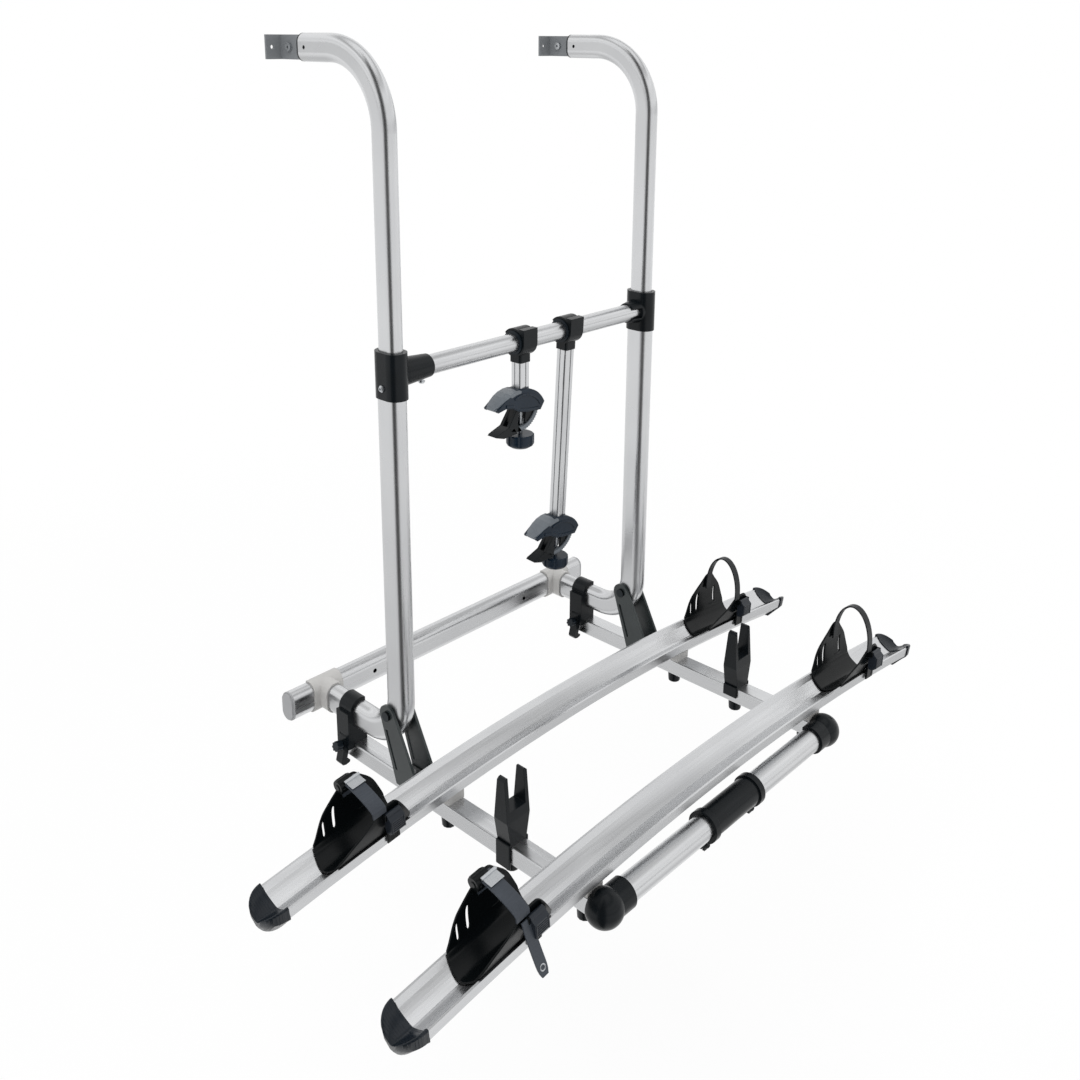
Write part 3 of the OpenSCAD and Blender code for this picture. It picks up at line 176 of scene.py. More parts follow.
@dataclass(frozen=True)
class Finish(ABC):
    """A material of the rack; each finish builds its own node tree once."""

    name: str

    def material(self) -> bpy.types.Material:
        """Gives the finish's material, and builds it at the first call.

        Returns:
            The material.
        """
        made = bpy.data.materials.get(self.name)
        if made is None:
            made = bpy.data.materials.new(self.name)
            made.use_nodes = True
            tree = made.node_tree
            tree.nodes.clear()
            shader = self.shade(tree)
            add_node(tree, "ShaderNodeOutputMaterial", {"Surface": shader.outputs[0]})
        return made

    @abstractmethod
    def shade(self, tree: bpy.types.NodeTree) -> bpy.types.Node:
        """Builds the surface shader.

        Args:
            tree: The material's empty node tree.

        Returns:
            The shader's node.
        """


@dataclass(frozen=True)
class AnodisedAluminium(Finish):
    """Extruded aluminium, etched and clear anodised.

    The skin is a soft grey mirror. Faint die lines run along each extrusion and
    draw its highlights out lengthwise, and the etch leaves a slightly cloudy tone.
    """

    run: Run = Run.ALONG_X
    colour: str = "#D4D5D6"
    shade_colour: str = "#C6C7C9"
    roughness: float = 0.27
    # Real die lines lie about 0.3 mm apart; drawn ten times as coarse, to show.
    line_pitch: float = 3.0 * MM
    line_length: float = 125 * MM
    line_depth: float = 0.03 * MM
    cloud_size: float = 55.556 * MM

    def shade(self, tree: bpy.types.NodeTree) -> bpy.types.Node:
        """Builds a metal with long faint lines and a cloudy tone.

        Args:
            tree: The material's empty node tree.

        Returns:
            The shader's node.
        """
        place = add_node(tree, "ShaderNodeTexCoord").outputs["Object"]
        along, across = frequency(self.line_length), frequency(self.line_pitch)
        scale = [along if part else across for part in self.run.value]
        lines_at = add_node(tree, "ShaderNodeMapping", {"Vector": place, "Scale": scale})
        lines = add_node(
            tree,
            "ShaderNodeTexNoise",
            {"Vector": lines_at.outputs[0], "Scale": 1.0, "Detail": 1.0, "Roughness": 0.4},
        )
        cloud_scale = frequency(self.cloud_size)
        clouds = add_node(
            tree,
            "ShaderNodeTexNoise",
            {"Vector": place, "Scale": cloud_scale, "Detail": 2.0, "Roughness": 0.5},
        )
        tone = add_node(
            tree,
            "ShaderNodeMix",
            {
                0: clouds.outputs[0],
                6: linear_colour(self.colour),
                7: linear_colour(self.shade_colour),
            },
            data_type="RGBA",
        )
        roughness = add_node(
            tree,
            "ShaderNodeMapRange",
            {
                "Value": lines.outputs[0],
                "From Min": 0.3,
                "From Max": 0.7,
                "To Min": self.roughness - 0.03,
                "To Max": self.roughness + 0.05,
            },
        )
        bump = add_node(
            tree,
            "ShaderNodeBump",
            {"Height": lines.outputs[0], "Strength": 0.04, "Distance": self.line_depth},
        )
        return add_node(
            tree,
            "ShaderNodeBsdfPrincipled",
            {
                "Base Color": tone.outputs[2],
                "Metallic": 1.0,
                "Roughness": roughness.outputs[0],
                "Normal": bump.outputs[0],
            },
        )


@dataclass(frozen=True)
class MouldedPolymer(Finish):
    """Injection-moulded plastic with the fine grain of a spark-eroded mould.

    It has a low, broad sheen and a paler tone that change from place to place,
    and its arrises are slightly rounded.
    """

    colour: str = "#080B0D"
    worn_colour: str = "#11161A"
    roughness: float = 0.26
    index: float = 1.29
    # Real grain is about 0.2 mm; drawn coarser, to show.
    grain: float = 0.9 * MM
    grain_depth: float = 0.05 * MM
    cloud_size: float = 22.727 * MM
    arris: float = 0.9 * MM

    def shade(self, tree: bpy.types.NodeTree) -> bpy.types.Node:
        """Builds a grained plastic with rounded arrises and a cloudy sheen.

        Args:
            tree: The material's empty node tree.

        Returns:
            The shader's node.
        """
        place = add_node(tree, "ShaderNodeTexCoord").outputs["Object"]
        grain_scale, cloud_scale = frequency(self.grain), frequency(self.cloud_size)
        grain = add_node(
            tree,
            "ShaderNodeTexNoise",
            {"Vector": place, "Scale": grain_scale, "Detail": 2.0, "Roughness": 0.6},
        )
        clouds = add_node(
            tree,
            "ShaderNodeTexNoise",
            {"Vector": place, "Scale": cloud_scale, "Detail": 3.0, "Roughness": 0.55},
        )
        tone = add_node(
            tree,
            "ShaderNodeMix",
            {
                0: clouds.outputs[0],
                6: linear_colour(self.colour),
                7: linear_colour(self.worn_colour),
            },
            data_type="RGBA",
        )
        roughness = add_node(
            tree,
            "ShaderNodeMapRange",
            {
                "Value": clouds.outputs[0],
                "From Min": 0.3,
                "From Max": 0.7,
                "To Min": self.roughness + 0.07,
                "To Max": self.roughness - 0.07,
            },
        )
        rounded = add_node(tree, "ShaderNodeBevel", {"Radius": self.arris}, samples=4)
        bump = add_node(
            tree,
            "ShaderNodeBump",
            {
                "Height": grain.outputs[0],
                "Strength": 0.5,
                "Distance": self.grain_depth,
                "Normal": rounded.outputs[0],
            },
        )
        return add_node(
            tree,
            "ShaderNodeBsdfPrincipled",
            {
                "Base Color": tone.outputs[2],
                "Roughness": roughness.outputs[0],
                "IOR": self.index,
                "Normal": bump.outputs[0],
            },
        )


@dataclass(frozen=True)
class PlatedSteel(Finish):
    """Electroplated steel of screws, pins and rods: bright, with a faint spangle."""

    colour: str = "#C3C6C9"
    roughness: float = 0.28
    # Real crystals are about 0.1 mm; drawn ten times as coarse, to show.
    spangle: float = 1.1111 * MM
    spangle_depth: float = 0.05 * MM

    def shade(self, tree: bpy.types.NodeTree) -> bpy.types.Node:
        """Builds a plated metal whose gloss changes from grain to grain.

        Args:
            tree: The material's empty node tree.

        Returns:
            The shader's node.
        """
        place = add_node(tree, "ShaderNodeTexCoord").outputs["Object"]
        spangle = add_node(
            tree, "ShaderNodeTexVoronoi", {"Vector": place, "Scale": 1 / self.spangle}
        ).outputs["Distance"]
        roughness = add_node(
            tree,
            "ShaderNodeMapRange",
            {
                "Value": spangle,
                "From Max": 0.8,
                "To Min": self.roughness - 0.06,
                "To Max": self.roughness + 0.10,
            },
        )
        bump = add_node(
            tree,
            "ShaderNodeBump",
            {"Height": spangle, "Strength": 0.08, "Distance": self.spangle_depth},
        )
        return add_node(
            tree,
            "ShaderNodeBsdfPrincipled",
            {
                "Base Color": linear_colour(self.colour),
                "Metallic": 1.0,
                "Roughness": roughness.outputs[0],
                "Normal": bump.outputs[0],
            },
        )


@dataclass(frozen=True)
class PowderCoat(Finish):
    """Powder-coated steel plate: an even satin coat with a light orange peel."""

    colour: str = "#6B6E71"
    # The peel's crests are painted paler: a painted highlight where the bump rises.
    crest_highlight_colour: str = "#777A7D"
    roughness: float = 0.5
    # Real orange peel has waves of 1 to 3 mm.
    peel: float = 1.1905 * MM
    peel_depth: float = 0.12 * MM

    def shade(self, tree: bpy.types.NodeTree) -> bpy.types.Node:
        """Builds a satin coat with orange peel, and a painted highlight on the peel's crests.

        Args:
            tree: The material's empty node tree.

        Returns:
            The shader's node.
        """
        place = add_node(tree, "ShaderNodeTexCoord").outputs["Object"]
        peel_scale = frequency(self.peel)
        peel = add_node(
            tree,
            "ShaderNodeTexNoise",
            {"Vector": place, "Scale": peel_scale, "Detail": 1.0, "Roughness": 0.4},
        )
        # Painted highlight: the paler colour follows the noise that raises the peel's crests.
        tone = add_node(
            tree,
            "ShaderNodeMix",
            {
                0: peel.outputs[0],
                6: linear_colour(self.colour),
                7: linear_colour(self.crest_highlight_colour),
            },
            data_type="RGBA",
        )
        bump = add_node(
            tree,
            "ShaderNodeBump",
            {"Height": peel.outputs[0], "Strength": 0.25, "Distance": self.peel_depth},
        )
        return add_node(
            tree,
            "ShaderNodeBsdfPrincipled",
            {
                "Base Color": tone.outputs[2],
                "Roughness": self.roughness,
                "IOR": 1.5,
                "Normal": bump.outputs[0],
            },
        )


# Anodised tubes and rails: the eye gets bright and dark bands along each tube. There
# is one material for each way that the die lines can run.
SILVER_X = AnodisedAluminium("anodised_aluminium_along_x", run=Run.ALONG_X)
SILVER_Y = AnodisedAluminium("anodised_aluminium_along_y", run=Run.ALONG_Y)
SILVER_Z = AnodisedAluminium("anodised_aluminium_along_z", run=Run.ALONG_Z)
SILVER_BENT = AnodisedAluminium("anodised_aluminium_bent", run=Run.ROUND_A_BEND)
# Glass-filled nylon, dyed black: near black with a soft, cool sheen.
BLACK = MouldedPolymer("black_nylon")
# Polypropylene of the thin holder shells: the deepest black, with wet-looking edges.
HOLDER_BLACK = MouldedPolymer("holder_polypropylene", "#040607", "#0A0E10", 0.25, 1.26)
# Nylon of hand knobs: a shade paler and duller, so that grips stand out.
KNOB_GREY = MouldedPolymer("dark_grey_nylon", "#12171C", "#1C242B", 0.34)
# Blue-black nylon of the claws: it takes a blue cast where the sky lights it.
CLAW_BLUE = MouldedPolymer("claw_nylon", "#081521", "#102130", 0.3, 1.36)
# Pale grey of the horns and toothed rims: a pale accent on the claws. On the horns it is a
# painted highlight along the bright top of the glossy, curved beak.
HORN_GREY_AND_HIGHLIGHT = MouldedPolymer("claw_horn_grey_and_painted_highlight", "#5A6066", "#6A7076", 0.32, 1.45)
# Nylon of the rail caps: blue-black, with broad highlights over the round nose.
CAP_BLUE = MouldedPolymer("cap_nylon", "#070E15", "#101922", 0.28, 1.38)
# Nylon of the pivot cheeks: flat plates that catch the light evenly. Their charcoal is a painted
# sheen: paler than the black of the other nylon parts, standing in for that light.
CHEEK_SHEEN_CHARCOAL = MouldedPolymer("cheek_nylon_painted_sheen", "#1C2223", "#2D3435", 0.3, 1.5)
# Nylon of the strap levers: dark grey against the black holders.
LEVER_GREY = MouldedPolymer("lever_nylon", "#171B21", "#222830", 0.32, 1.4)
# Light grey nylon of the wall bar's caps and of collars and blocks: matt, no sparkle.
MID_GREY = MouldedPolymer("mid_grey_nylon", "#97989A", "#A3A4A6", 0.42, 1.46)
PALE_GREY = MouldedPolymer("pale_grey_nylon", "#B2B1AF", "#BDBCBA", 0.42, 1.46)
# Polyurethane straps: rubbery and matt, finer in the grain than the hard parts.
STRAP_GREY = MouldedPolymer(
    "strap_polyurethane", "#30343B", "#3C424A", 0.42, 1.42, 0.7 * MM, 0.03 * MM
)
STRAP_BLACK = MouldedPolymer(
    "strap_polyurethane_black", "#0A0D0F", "#13181B", 0.4, 1.36, 0.7 * MM
)
# Zinc-plated steel: small bright points; blackened steel: the same, nearly hidden.
ZINC = PlatedSteel("zinc_plated_steel")
BLACKENED = PlatedSteel("blackened_steel", "#303437", 0.34)
# Powder-coated wall brackets: an even mid grey without bands.
BRACKET = PowderCoat("powder_coated_steel")


@dataclass(frozen=True)
class PackedRack:
    """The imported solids, and the places that other pieces take from them."""

    nodes: Mapping[str, bpy.types.Object]
    joints: Mapping[str, Mapping[str, Any]]

    def pivot(self, joint: str) -> Vector:
        """The place of a joint's axis."""
        return Vector(self.joints[joint]["pos_m"])

    def axis(self, joint: str) -> Vector:
        """The direction of a joint's axis."""
        return Vector(self.joints[joint]["axis"])

    def middle(self, node: str) -> Vector:
        """The middle of a node's box."""
        return sum(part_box(node), Vector()) / 2

    def dress(self, finish: Finish, *names: str) -> None:
        """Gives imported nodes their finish.

        Args:
            finish: The finish that the nodes get.
            names: The names of the nodes.
        """
        for name in names:
            mesh = self.nodes[name].data
            mesh.materials.clear()
            mesh.materials.append(finish.material())
            LOG.info("dressed %s in %s", name, finish.name)

    def on_arch(self, row: str, turn: float) -> Matrix:
        """Finds the frame of a place on a wheel rail.

        Args:
            row: The rail's row, rear or front.
            turn: The place's angle round the centre of the rail's arch.

        Returns:
            The frame: x along the rail, y to the wall, z up from the rims.
        """
        centre = self.pivot(f"holder_{row}_left_slide")
        swing = Matrix.Rotation(turn, 4, "Y")
        return Matrix.Translation(centre) @ swing @ Matrix.Translation((0, 0, ARCH_RADIUS))


def mm(*lengths: float) -> Size:
    """Turns lengths in millimetres into metres."""
    return tuple(length * MM for length in lengths)


def at(x: float, y: float, z: float) -> Matrix:
    """Makes a shift from millimetres."""
    return Matrix.Translation(mm(x, y, z))


def settle(
    work: bmesh.types.BMesh,
    name: str,
    body: str,
    finish: Finish,
    placing: Matrix | None = None,
) -> bpy.types.Object:
    """Turns a finished bmesh into a piece that rides on a body.

    Args:
        work: The mesh; it is freed.
        name: The piece's name.
        body: The body that the piece rides on.
        finish: The piece's finish.
        placing: The frame that the mesh was built in, if not the rack's own.

    Returns:
        The piece's object.
    """
    if placing is not None:
        bmesh.ops.transform(work, matrix=placing, verts=work.verts)
    bmesh.ops.remove_doubles(work, verts=work.verts, dist=WELD)
    bmesh.ops.recalc_face_normals(work, faces=work.faces)
    mesh = bpy.data.meshes.new(name)
    work.to_mesh(mesh)
    work.free()
    mesh.shade_smooth()
    mesh.set_sharp_from_angle(angle=math.radians(32))
    mesh.materials.append(finish.material())
    piece = bpy.data.objects.new(name, mesh)
    bpy.context.scene.collection.objects.link(piece)
    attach(piece, body)
    LOG.info("built %s on %s, %d faces", name, body, len(mesh.polygons))
    return piece


def round_edges(piece: bpy.types.Object, width: float, segments: int = 2) -> None:
    """Rounds a piece's sharp edges with a Bevel modifier.

    Args:
        piece: The piece.
        width: The width of the rounding.
        segments: The number of faces across the rounding.
    """
    bevel = piece.modifiers.new("rounded_edges", "BEVEL")
    bevel.width = width
    bevel.segments = segments
    bevel.limit_method = "ANGLE"
    bevel.angle_limit = math.radians(35)


def stations_along(points: Sequence[Vector], across: Vector) -> list[Matrix]:
    """Makes frames for a section that travels along points.

    Each frame has X across and Z forward, halfway between its two stretches.

    Args:
        points: The line of travel.
        across: The direction of the section's width.

    Returns:
        A frame for each point.
    """
    frames = []
    for index, point in enumerate(points):
        before = points[max(index - 1, 0)]
        after = points[min(index + 1, len(points) - 1)]
        ahead = (after - before).normalized()
        side = (across - across.dot(ahead) * ahead).normalized()
        turn = Matrix((side, ahead.cross(side), ahead)).transposed()
        frames.append(Matrix.Translation(point) @ turn.to_4x4())
    return frames


def sweep(
    work: bmesh.types.BMesh, face: bmesh.types.BMFace, stations: Sequence[Matrix]
) -> None:
    """Extrudes a face through a row of stations.

    Args:
        work: The mesh.
        face: A loose face of it, drawn in the XY plane.
        stations: Where the face stands at each step; the first places it.
    """
    bmesh.ops.transform(work, matrix=stations[0], verts=face.verts)
    for before, after in zip(stations, stations[1:]):
        grown = bmesh.ops.extrude_face_region(work, geom=[face])["geom"]
        face = next(part for part in grown if isinstance(part, bmesh.types.BMFace))
        corners = [part for part in grown if isinstance(part, bmesh.types.BMVert)]
        bmesh.ops.transform(work, matrix=after @ before.inverted(), verts=corners)


def add_band(
    work: bmesh.types.BMesh, stations: Sequence[Matrix], width: float, depth: float
) -> None:
    """Adds a band with a rectangular section.

    Args:
        work: The mesh that takes the band.
        stations: The frames along it.
        width: Its size across.
        depth: Its thickness.
    """
    section = Matrix.Diagonal((width, depth, 1, 1))
    made = bmesh.ops.create_grid(work, x_segments=1, y_segments=1, size=0.5, matrix=section)
    sweep(work, made["verts"][0].link_faces[0], stations)


def add_block(work: bmesh.types.BMesh, size: Size, place: Matrix) -> None:
    """Adds a block of a size, centred at a place."""
    bmesh.ops.create_cube(work, size=1.0, matrix=place @ Matrix.Diagonal((*size, 1.0)))


def add_rod(
    work: bmesh.types.BMesh,
    radius: float,
    length: float,
    place: Matrix,
    sides: int,
    top_radius: float | None = None,
) -> None:
    """Adds a rod or a tapered stud along a frame's z.

    Args:
        work: The mesh that takes the rod.
        radius: Its radius.
        length: Its length.
        place: The frame of its middle.
        sides: The number of its faces round.
        top_radius: Its radius at the top, where it is tapered.
    """
    bmesh.ops.create_cone(
        work,
        cap_ends=True,
        segments=sides,
        radius1=radius,
        radius2=radius if top_radius is None else top_radius,
        depth=length,
        matrix=place,
    )


def add_plate(work: bmesh.types.BMesh, outline: Outline, low: float, high: float) -> None:
    """Adds a plate with an outline in the xz plane.

    Args:
        work: The mesh that takes the plate.
        outline: The corners as (x, z) in millimetres.
        low: The plate's lower y.
        high: The plate's upper y.
    """
    face = work.faces.new([work.verts.new((x * MM, low, z * MM)) for x, z in outline])
    grown = bmesh.ops.extrude_face_region(work, geom=[face])["geom"]
    moved = [part for part in grown if isinstance(part, bmesh.types.BMVert)]
    bmesh.ops.translate(work, vec=(0, high - low, 0), verts=moved)


@dataclass(frozen=True)
class HolderSpot:
    """Where a wheel holder stands; its frame has z up from the rims."""

    row: str
    side: str
    placing: Matrix

    @classmethod
    def find(cls, rack: PackedRack, row: str, side: str) -> HolderSpot:
        """Finds a holder by the axis of its lever, which lies along its rail.

        Args:
            rack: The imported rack.
            row: The holder's row, rear or front.
            side: The holder's side, left or right.

        Returns:
            The holder's spot.
        """
        lever = rack.axis(f"lever_{row}_{side}_open")
        return cls(row, side, rack.on_arch(row, math.atan2(lever.z, -lever.x)))

    @property
    def end(self) -> str:
        """The holder's part of its pieces' names."""
        return f"{self.row}_{self.side}"

    @property
    def body(self) -> str:
        """The body that the holder rides on."""
        return f"holder_{self.end}"

    @property
    def lever_body(self) -> str:
        """The body that the holder's strap lever rides on."""
        return f"lever_{self.end}"


@dataclass
class WheelStrap:
    """A moulded ratchet strap from a holder's rear wall to its front wall.

    It leaves the walls upright and crosses the wheel in a half ellipse.
    """

    spot: HolderSpot
    width: float
    rise: float
    finish: Finish
    slot: str
    rear_spring: float = 66 * MM
    has_tail: bool = False
    thickness: float = 2.6 * MM
    soft_edge: float = 0.5 * MM
    strap_x: float = 35 * MM
    rear_y: float = 33.2 * MM
    front_y: float = -41.8 * MM
    rear_low: float = 50 * MM
    front_spring: float = 54.3 * MM
    front_low: float = 47 * MM
    arch_steps: int = 36
    # The ladder of teeth starts a third of the way over the arch.
    ladder_start: int = 12
    tooth_pitch: float = 3.2 * MM
    tooth_height: float = 1.1 * MM
    tooth_margin: float = 3 * MM
    tail_x: float = 38 * MM
    tail_top: float = 44 * MM
    tail_drop: float = 80 * MM
    tail_reach: float = 26 * MM
    tail_drift: float = 1 * MM
    tail_width: float = 18 * MM
    tail_steps: int = 14
    # Widths of the tail's last stations against the rest: a tapered tip.
    tail_tip: Sequence[float] = (1.0, 0.97, 0.86, 0.62)
    eyelet_station: int = 12
    eyelet_radius: float = 4.2 * MM
    eyelet_wire: float = 1.3 * MM
    eyelet_stretch: float = 1.9

    def line(self) -> list[Vector]:
        """Works out the strap's centreline in the holder's frame.

        Returns:
            Its points, from rear to front.
        """
        half = (self.rear_y - self.front_y - self.thickness) / 2
        middle = (self.rear_y + self.front_y) / 2
        slope = (self.rear_spring - self.front_spring) / 2
        crown = self.rise - self.thickness / 2
        turns = [math.pi * step / self.arch_steps for step in range(self.arch_steps + 1)]
        arch = [
            Vector((
                self.strap_x,
                middle + half * math.cos(turn),
                self.rear_spring + (math.cos(turn) - 1) * slope + crown * math.sin(turn),
            ))
            for turn in turns
        ]
        first = Vector((self.strap_x, arch[0].y, self.rear_low))
        last = Vector((self.strap_x, arch[-1].y, self.front_low))
        return [first, *arch, last]

    def build(self) -> None:
        """Builds the band with its ladder of teeth, and the tail where it has one."""
        frames = stations_along(self.line(), X_AXIS)
        work = bmesh.new()
        add_band(work, frames, self.width, self.thickness)
        self.add_teeth(work, frames)
        name = f"strap_{self.spot.end}"
        piece = settle(
            work,
            f"moulded_{name}",
            self.spot.body,
            self.finish,
            self.spot.placing,
        )
        round_edges(piece, self.soft_edge)
        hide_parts(name)
        if self.has_tail:
            self.build_tail()

    def add_teeth(self, work: bmesh.types.BMesh, frames: Sequence[Matrix]) -> None:
        """Adds ladder teeth over the outside of the strap, at an even pitch.

        Args:
            work: The strap's mesh.
            frames: The frames along the strap.
        """
        tooth = (
            self.width - 2 * self.tooth_margin,
            self.tooth_height * 1.3,
            self.tooth_pitch * 0.45,
        )
        lift = Matrix.Translation((0, -(self.thickness + self.tooth_height) / 2, 0))
        travelled = 0.0
        due = 0.0
        ladder = frames[self.ladder_start:]
        for before, after in zip(ladder, ladder[1:]):
            step = after.translation - before.translation
            while due < travelled + step.length:
                place = before.copy()
                place.translation += step * ((due - travelled) / step.length)
                add_block(work, tooth, place @ lift)
                due += self.tooth_pitch
            travelled += step.length

    def build_tail(self) -> None:
        """Builds the strap's loose end, which hangs in front of the holder."""
        top = Vector((self.tail_x, self.front_y - 1.5 * MM, self.tail_top))
        line = [
            top
            + Vector((
                self.tail_drift * share,
                -self.tail_reach * share ** 1.3,
                -self.tail_drop * share,
            ))
            for share in (step / self.tail_steps for step in range(self.tail_steps + 1))
        ]
        frames = stations_along(line, X_AXIS)
        plain = len(frames) - len(self.tail_tip)
        shaped = [
            frame @ Matrix.Diagonal((self.tail_tip[max(0, index - plain)], 1, 1, 1))
            for index, frame in enumerate(frames)
        ]
        work = bmesh.new()
        add_band(work, shaped, self.tail_width, self.thickness)
        end = self.spot.end
        placing = self.spot.placing
        tail = settle(
            work, f"strap_tail_{end}", self.spot.body, self.finish, placing
        )
        round_edges(tail, self.soft_edge)
        lay_flat = Matrix.Rotation(math.pi / 2, 4, "X")
        stretch = Matrix.Diagonal((1, 1, self.eyelet_stretch, 1))
        seat = placing @ frames[self.eyelet_station] @ lay_flat @ stretch
        settle(self.eyelet(), f"strap_eyelet_{end}", self.spot.body, ZINC, seat)

    def eyelet(self) -> bmesh.types.BMesh:
        """Spins a steel eyelet round z.

        Returns:
            Its mesh.
        """
        ring = bmesh.new()
        wire = Matrix.Translation((self.eyelet_radius, 0, 0)) @ Matrix.Rotation(
            math.pi / 2, 4, "X"
        )
        bmesh.ops.create_circle(ring, segments=8, radius=self.eyelet_wire, matrix=wire)
        bmesh.ops.spin(
            ring,
            geom=ring.edges[:] + ring.verts[:],
            axis=(0, 0, 1),
            cent=(0, 0, 0),
            angle=2 * math.pi,
            steps=20,
            use_merge=True,
        )
        return ring


@dataclass
class HolderShell:
    """The moulded cradle of a wheel holder: a floor in the trough and two walls.

    It is drawn as one skin, section by section along the rail, and then thickened.
    Outlines, stations and rows are in millimetres; wall rows are shares of height.
    """

    spot: HolderSpot
    wall: float = 3.0 * MM
    foot_y: float = 29.5 * MM
    foot_z: float = 1.5 * MM
    flare: float = 7.3 * MM
    flare_height: float = 30 * MM
    # Heights of the two walls above the rims, along the rail.
    rear_outline: Outline = (
        (-52, 4), (-44, 11), (-32, 27), (-18, 44), (-4, 58), (8, 68), (16, 77),
        (24, 80), (44, 79), (50, 74), (58, 67), (66, 61), (74, 54), (82, 45), (89, 31),
        (95, 9),
    )
    front_outline: Outline = (
        (-52, 4), (-40, 8), (-26, 15), (-10, 24), (4, 33), (18, 43), (28, 50),
        (36, 54), (44, 55), (64, 55), (72, 50), (82, 34), (95, 9),
    )
    # Sections stand close together at the slots' edges, to keep them crisp.
    stations: Sequence[float] = (
        -52, -49.5, -43, -36, -30, -24, -20, -15, -9, -4, 0, 5, 11, 18, 25, 32,
        39, 46, 53, 59, 62, 68, 75, 81, 87, 92, 95,
    )
    slots: Outline = ((-24, -20), (-4, 0), (59, 62))
    slot_rows: tuple[float, float] = (0.14, 0.70)
    slot_lean: float = 0.3
    wall_rows: Sequence[float] = (1.0, 0.94, 0.82, 0.70, 0.50, 0.30, 0.14, 0.05)
    floor_rows: Sequence[float] = (29.5, 27.2, 24.5, 20, 13, 6.5)
    # The floor is a bowl in the rail's trough, with a lip that climbs to the rims.
    bowl_half: float = 25
    bowl_edge: float = -5.6
    bowl_depth: float = 13
    lip_slope: float = 7.1 / 4.5
    # The low end is drawn back between the walls, like a tongue.
    tongue_share: float = 0.22
    tongue_reach: float = 9 * MM
    tongue_half: float = 30 * MM
    lever_x: float = 56

    def height(self, outline: Outline, along: float) -> float:
        """Reads a wall's height from its outline.

        Args:
            outline: The wall's outline.
            along: The place along the rail, in millimetres.

        Returns:
            The height above the rims, in millimetres.
        """
        for (start, low), (stop, high) in zip(outline, outline[1:]):
            if along <= stop:
                return low + (high - low) * (along - start) / (stop - start)
        return outline[-1][1]

    def wall_y(self, rise: float) -> float:
        """The wall's distance from the rail's middle at a height, both in metres."""
        return self.foot_y + self.flare * min(1.0, max(0.0, rise) / self.flare_height) ** 0.8

    def floor_z(self, out: float) -> float:
        """Works out the floor's height beside the rail's middle.

        Args:
            out: The distance from the middle, in millimetres.

        Returns:
            The height above the rims, in metres.
        """
        if out > self.bowl_half:
            return (self.bowl_edge + (out - self.bowl_half) * self.lip_slope) * MM
        return (self.bowl_edge - self.bowl_depth * (1 - (out / self.bowl_half) ** 1.4)) * MM

    def section(self, along: float) -> list[Vector]:
        """Works out the skin's section at a station.

        Args:
            along: The place along the rail, in millimetres.

        Returns:
            The points, from the rear wall's top over the floor to the front's.
        """
        halves = []
        for side, outline in ((1, self.rear_outline), (-1, self.front_outline)):
            climb = self.height(outline, along) * MM - self.foot_z
            rises = [self.foot_z + climb * row for row in self.wall_rows]
            wall = [Vector((along * MM, side * self.wall_y(rise), rise)) for rise in rises]
            floor = [
                Vector((along * MM, side * out * MM, self.floor_z(out)))
                for out in self.floor_rows
            ]
            halves.append(wall + floor)
        middle = Vector((along * MM, 0, self.floor_z(0)))
        return [*halves[0], middle, *reversed(halves[1])]

    def build(self) -> None:
        """Builds the skin, opens its slots and gives it thickness and soft edges."""
        work = self.skin()
        self.open_slots(work)
        self.shape_skin(work)
        piece = settle(
            work,
            f"moulded_cradle_{self.spot.end}",
            self.spot.body,
            HOLDER_BLACK,
            self.spot.placing,
        )
        thick = piece.modifiers.new("wall_thickness", "SOLIDIFY")
        thick.thickness = self.wall
        thick.offset = 0.0
        soft = piece.modifiers.new("moulded_form", "SUBSURF")
        soft.levels = 2
        soft.render_levels = 2
        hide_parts(f"cradle_{self.spot.end}")
        self.build_fittings()

    def skin(self) -> bmesh.types.BMesh:
        """Draws a section's chain of edges from station to station.

        Returns:
            The skin's mesh, straight and without slots.
        """
        work = bmesh.new()
        chain = [work.verts.new(point) for point in self.section(self.stations[0])]
        edges = [work.edges.new(pair) for pair in zip(chain, chain[1:])]
        for along in self.stations[1:]:
            grown = bmesh.ops.extrude_edge_only(work, edges=edges)["geom"]
            fresh = {part for part in grown if isinstance(part, bmesh.types.BMVert)}
            chain = [
                next(
                    edge.other_vert(corner)
                    for edge in corner.link_edges
                    if edge.other_vert(corner) in fresh
                )
                for corner in chain
            ]
            for corner, point in zip(chain, self.section(along)):
                corner.co = point
            edges = [
                part
                for part in grown
                if isinstance(part, bmesh.types.BMEdge) and fresh.issuperset(part.verts)
            ]
        return work

    def open_slots(self, work: bmesh.types.BMesh) -> None:
        """Cuts the slots through the rear wall, a column of faces each.

        Args:
            work: The skin's mesh.
        """
        low, high = self.slot_rows
        opened = []
        for face in work.faces:
            centre = face.calc_center_median()
            along = centre.x / MM
            if centre.y < self.foot_y:
                continue
            share = centre.z / (self.height(self.rear_outline, along) * MM)
            if low < share < high and any(a < along < b for a, b in self.slots):
                opened.append(face)
        bmesh.ops.delete(work, geom=opened, context="FACES")

    def shape_skin(self, work: bmesh.types.BMesh) -> None:
        """Leans the slots, draws the low end back and bends the skin to the arch.

        Args:
            work: The skin's mesh.
        """
        start, stop = self.stations[0] * MM, self.stations[-1] * MM
        for corner in work.verts:
            share = (corner.co.x - start) / (stop - start)
            free = math.sin(math.pi * share) * (1.0 - share)
            tongue = max(0.0, self.tongue_share - share) / self.tongue_share
            corner.co.x += self.slot_lean * max(0.0, corner.co.z) * free
            corner.co.x += self.tongue_reach * tongue * (corner.co.y / self.tongue_half) ** 2
            corner.co.z -= corner.co.x ** 2 / (2 * ARCH_RADIUS)

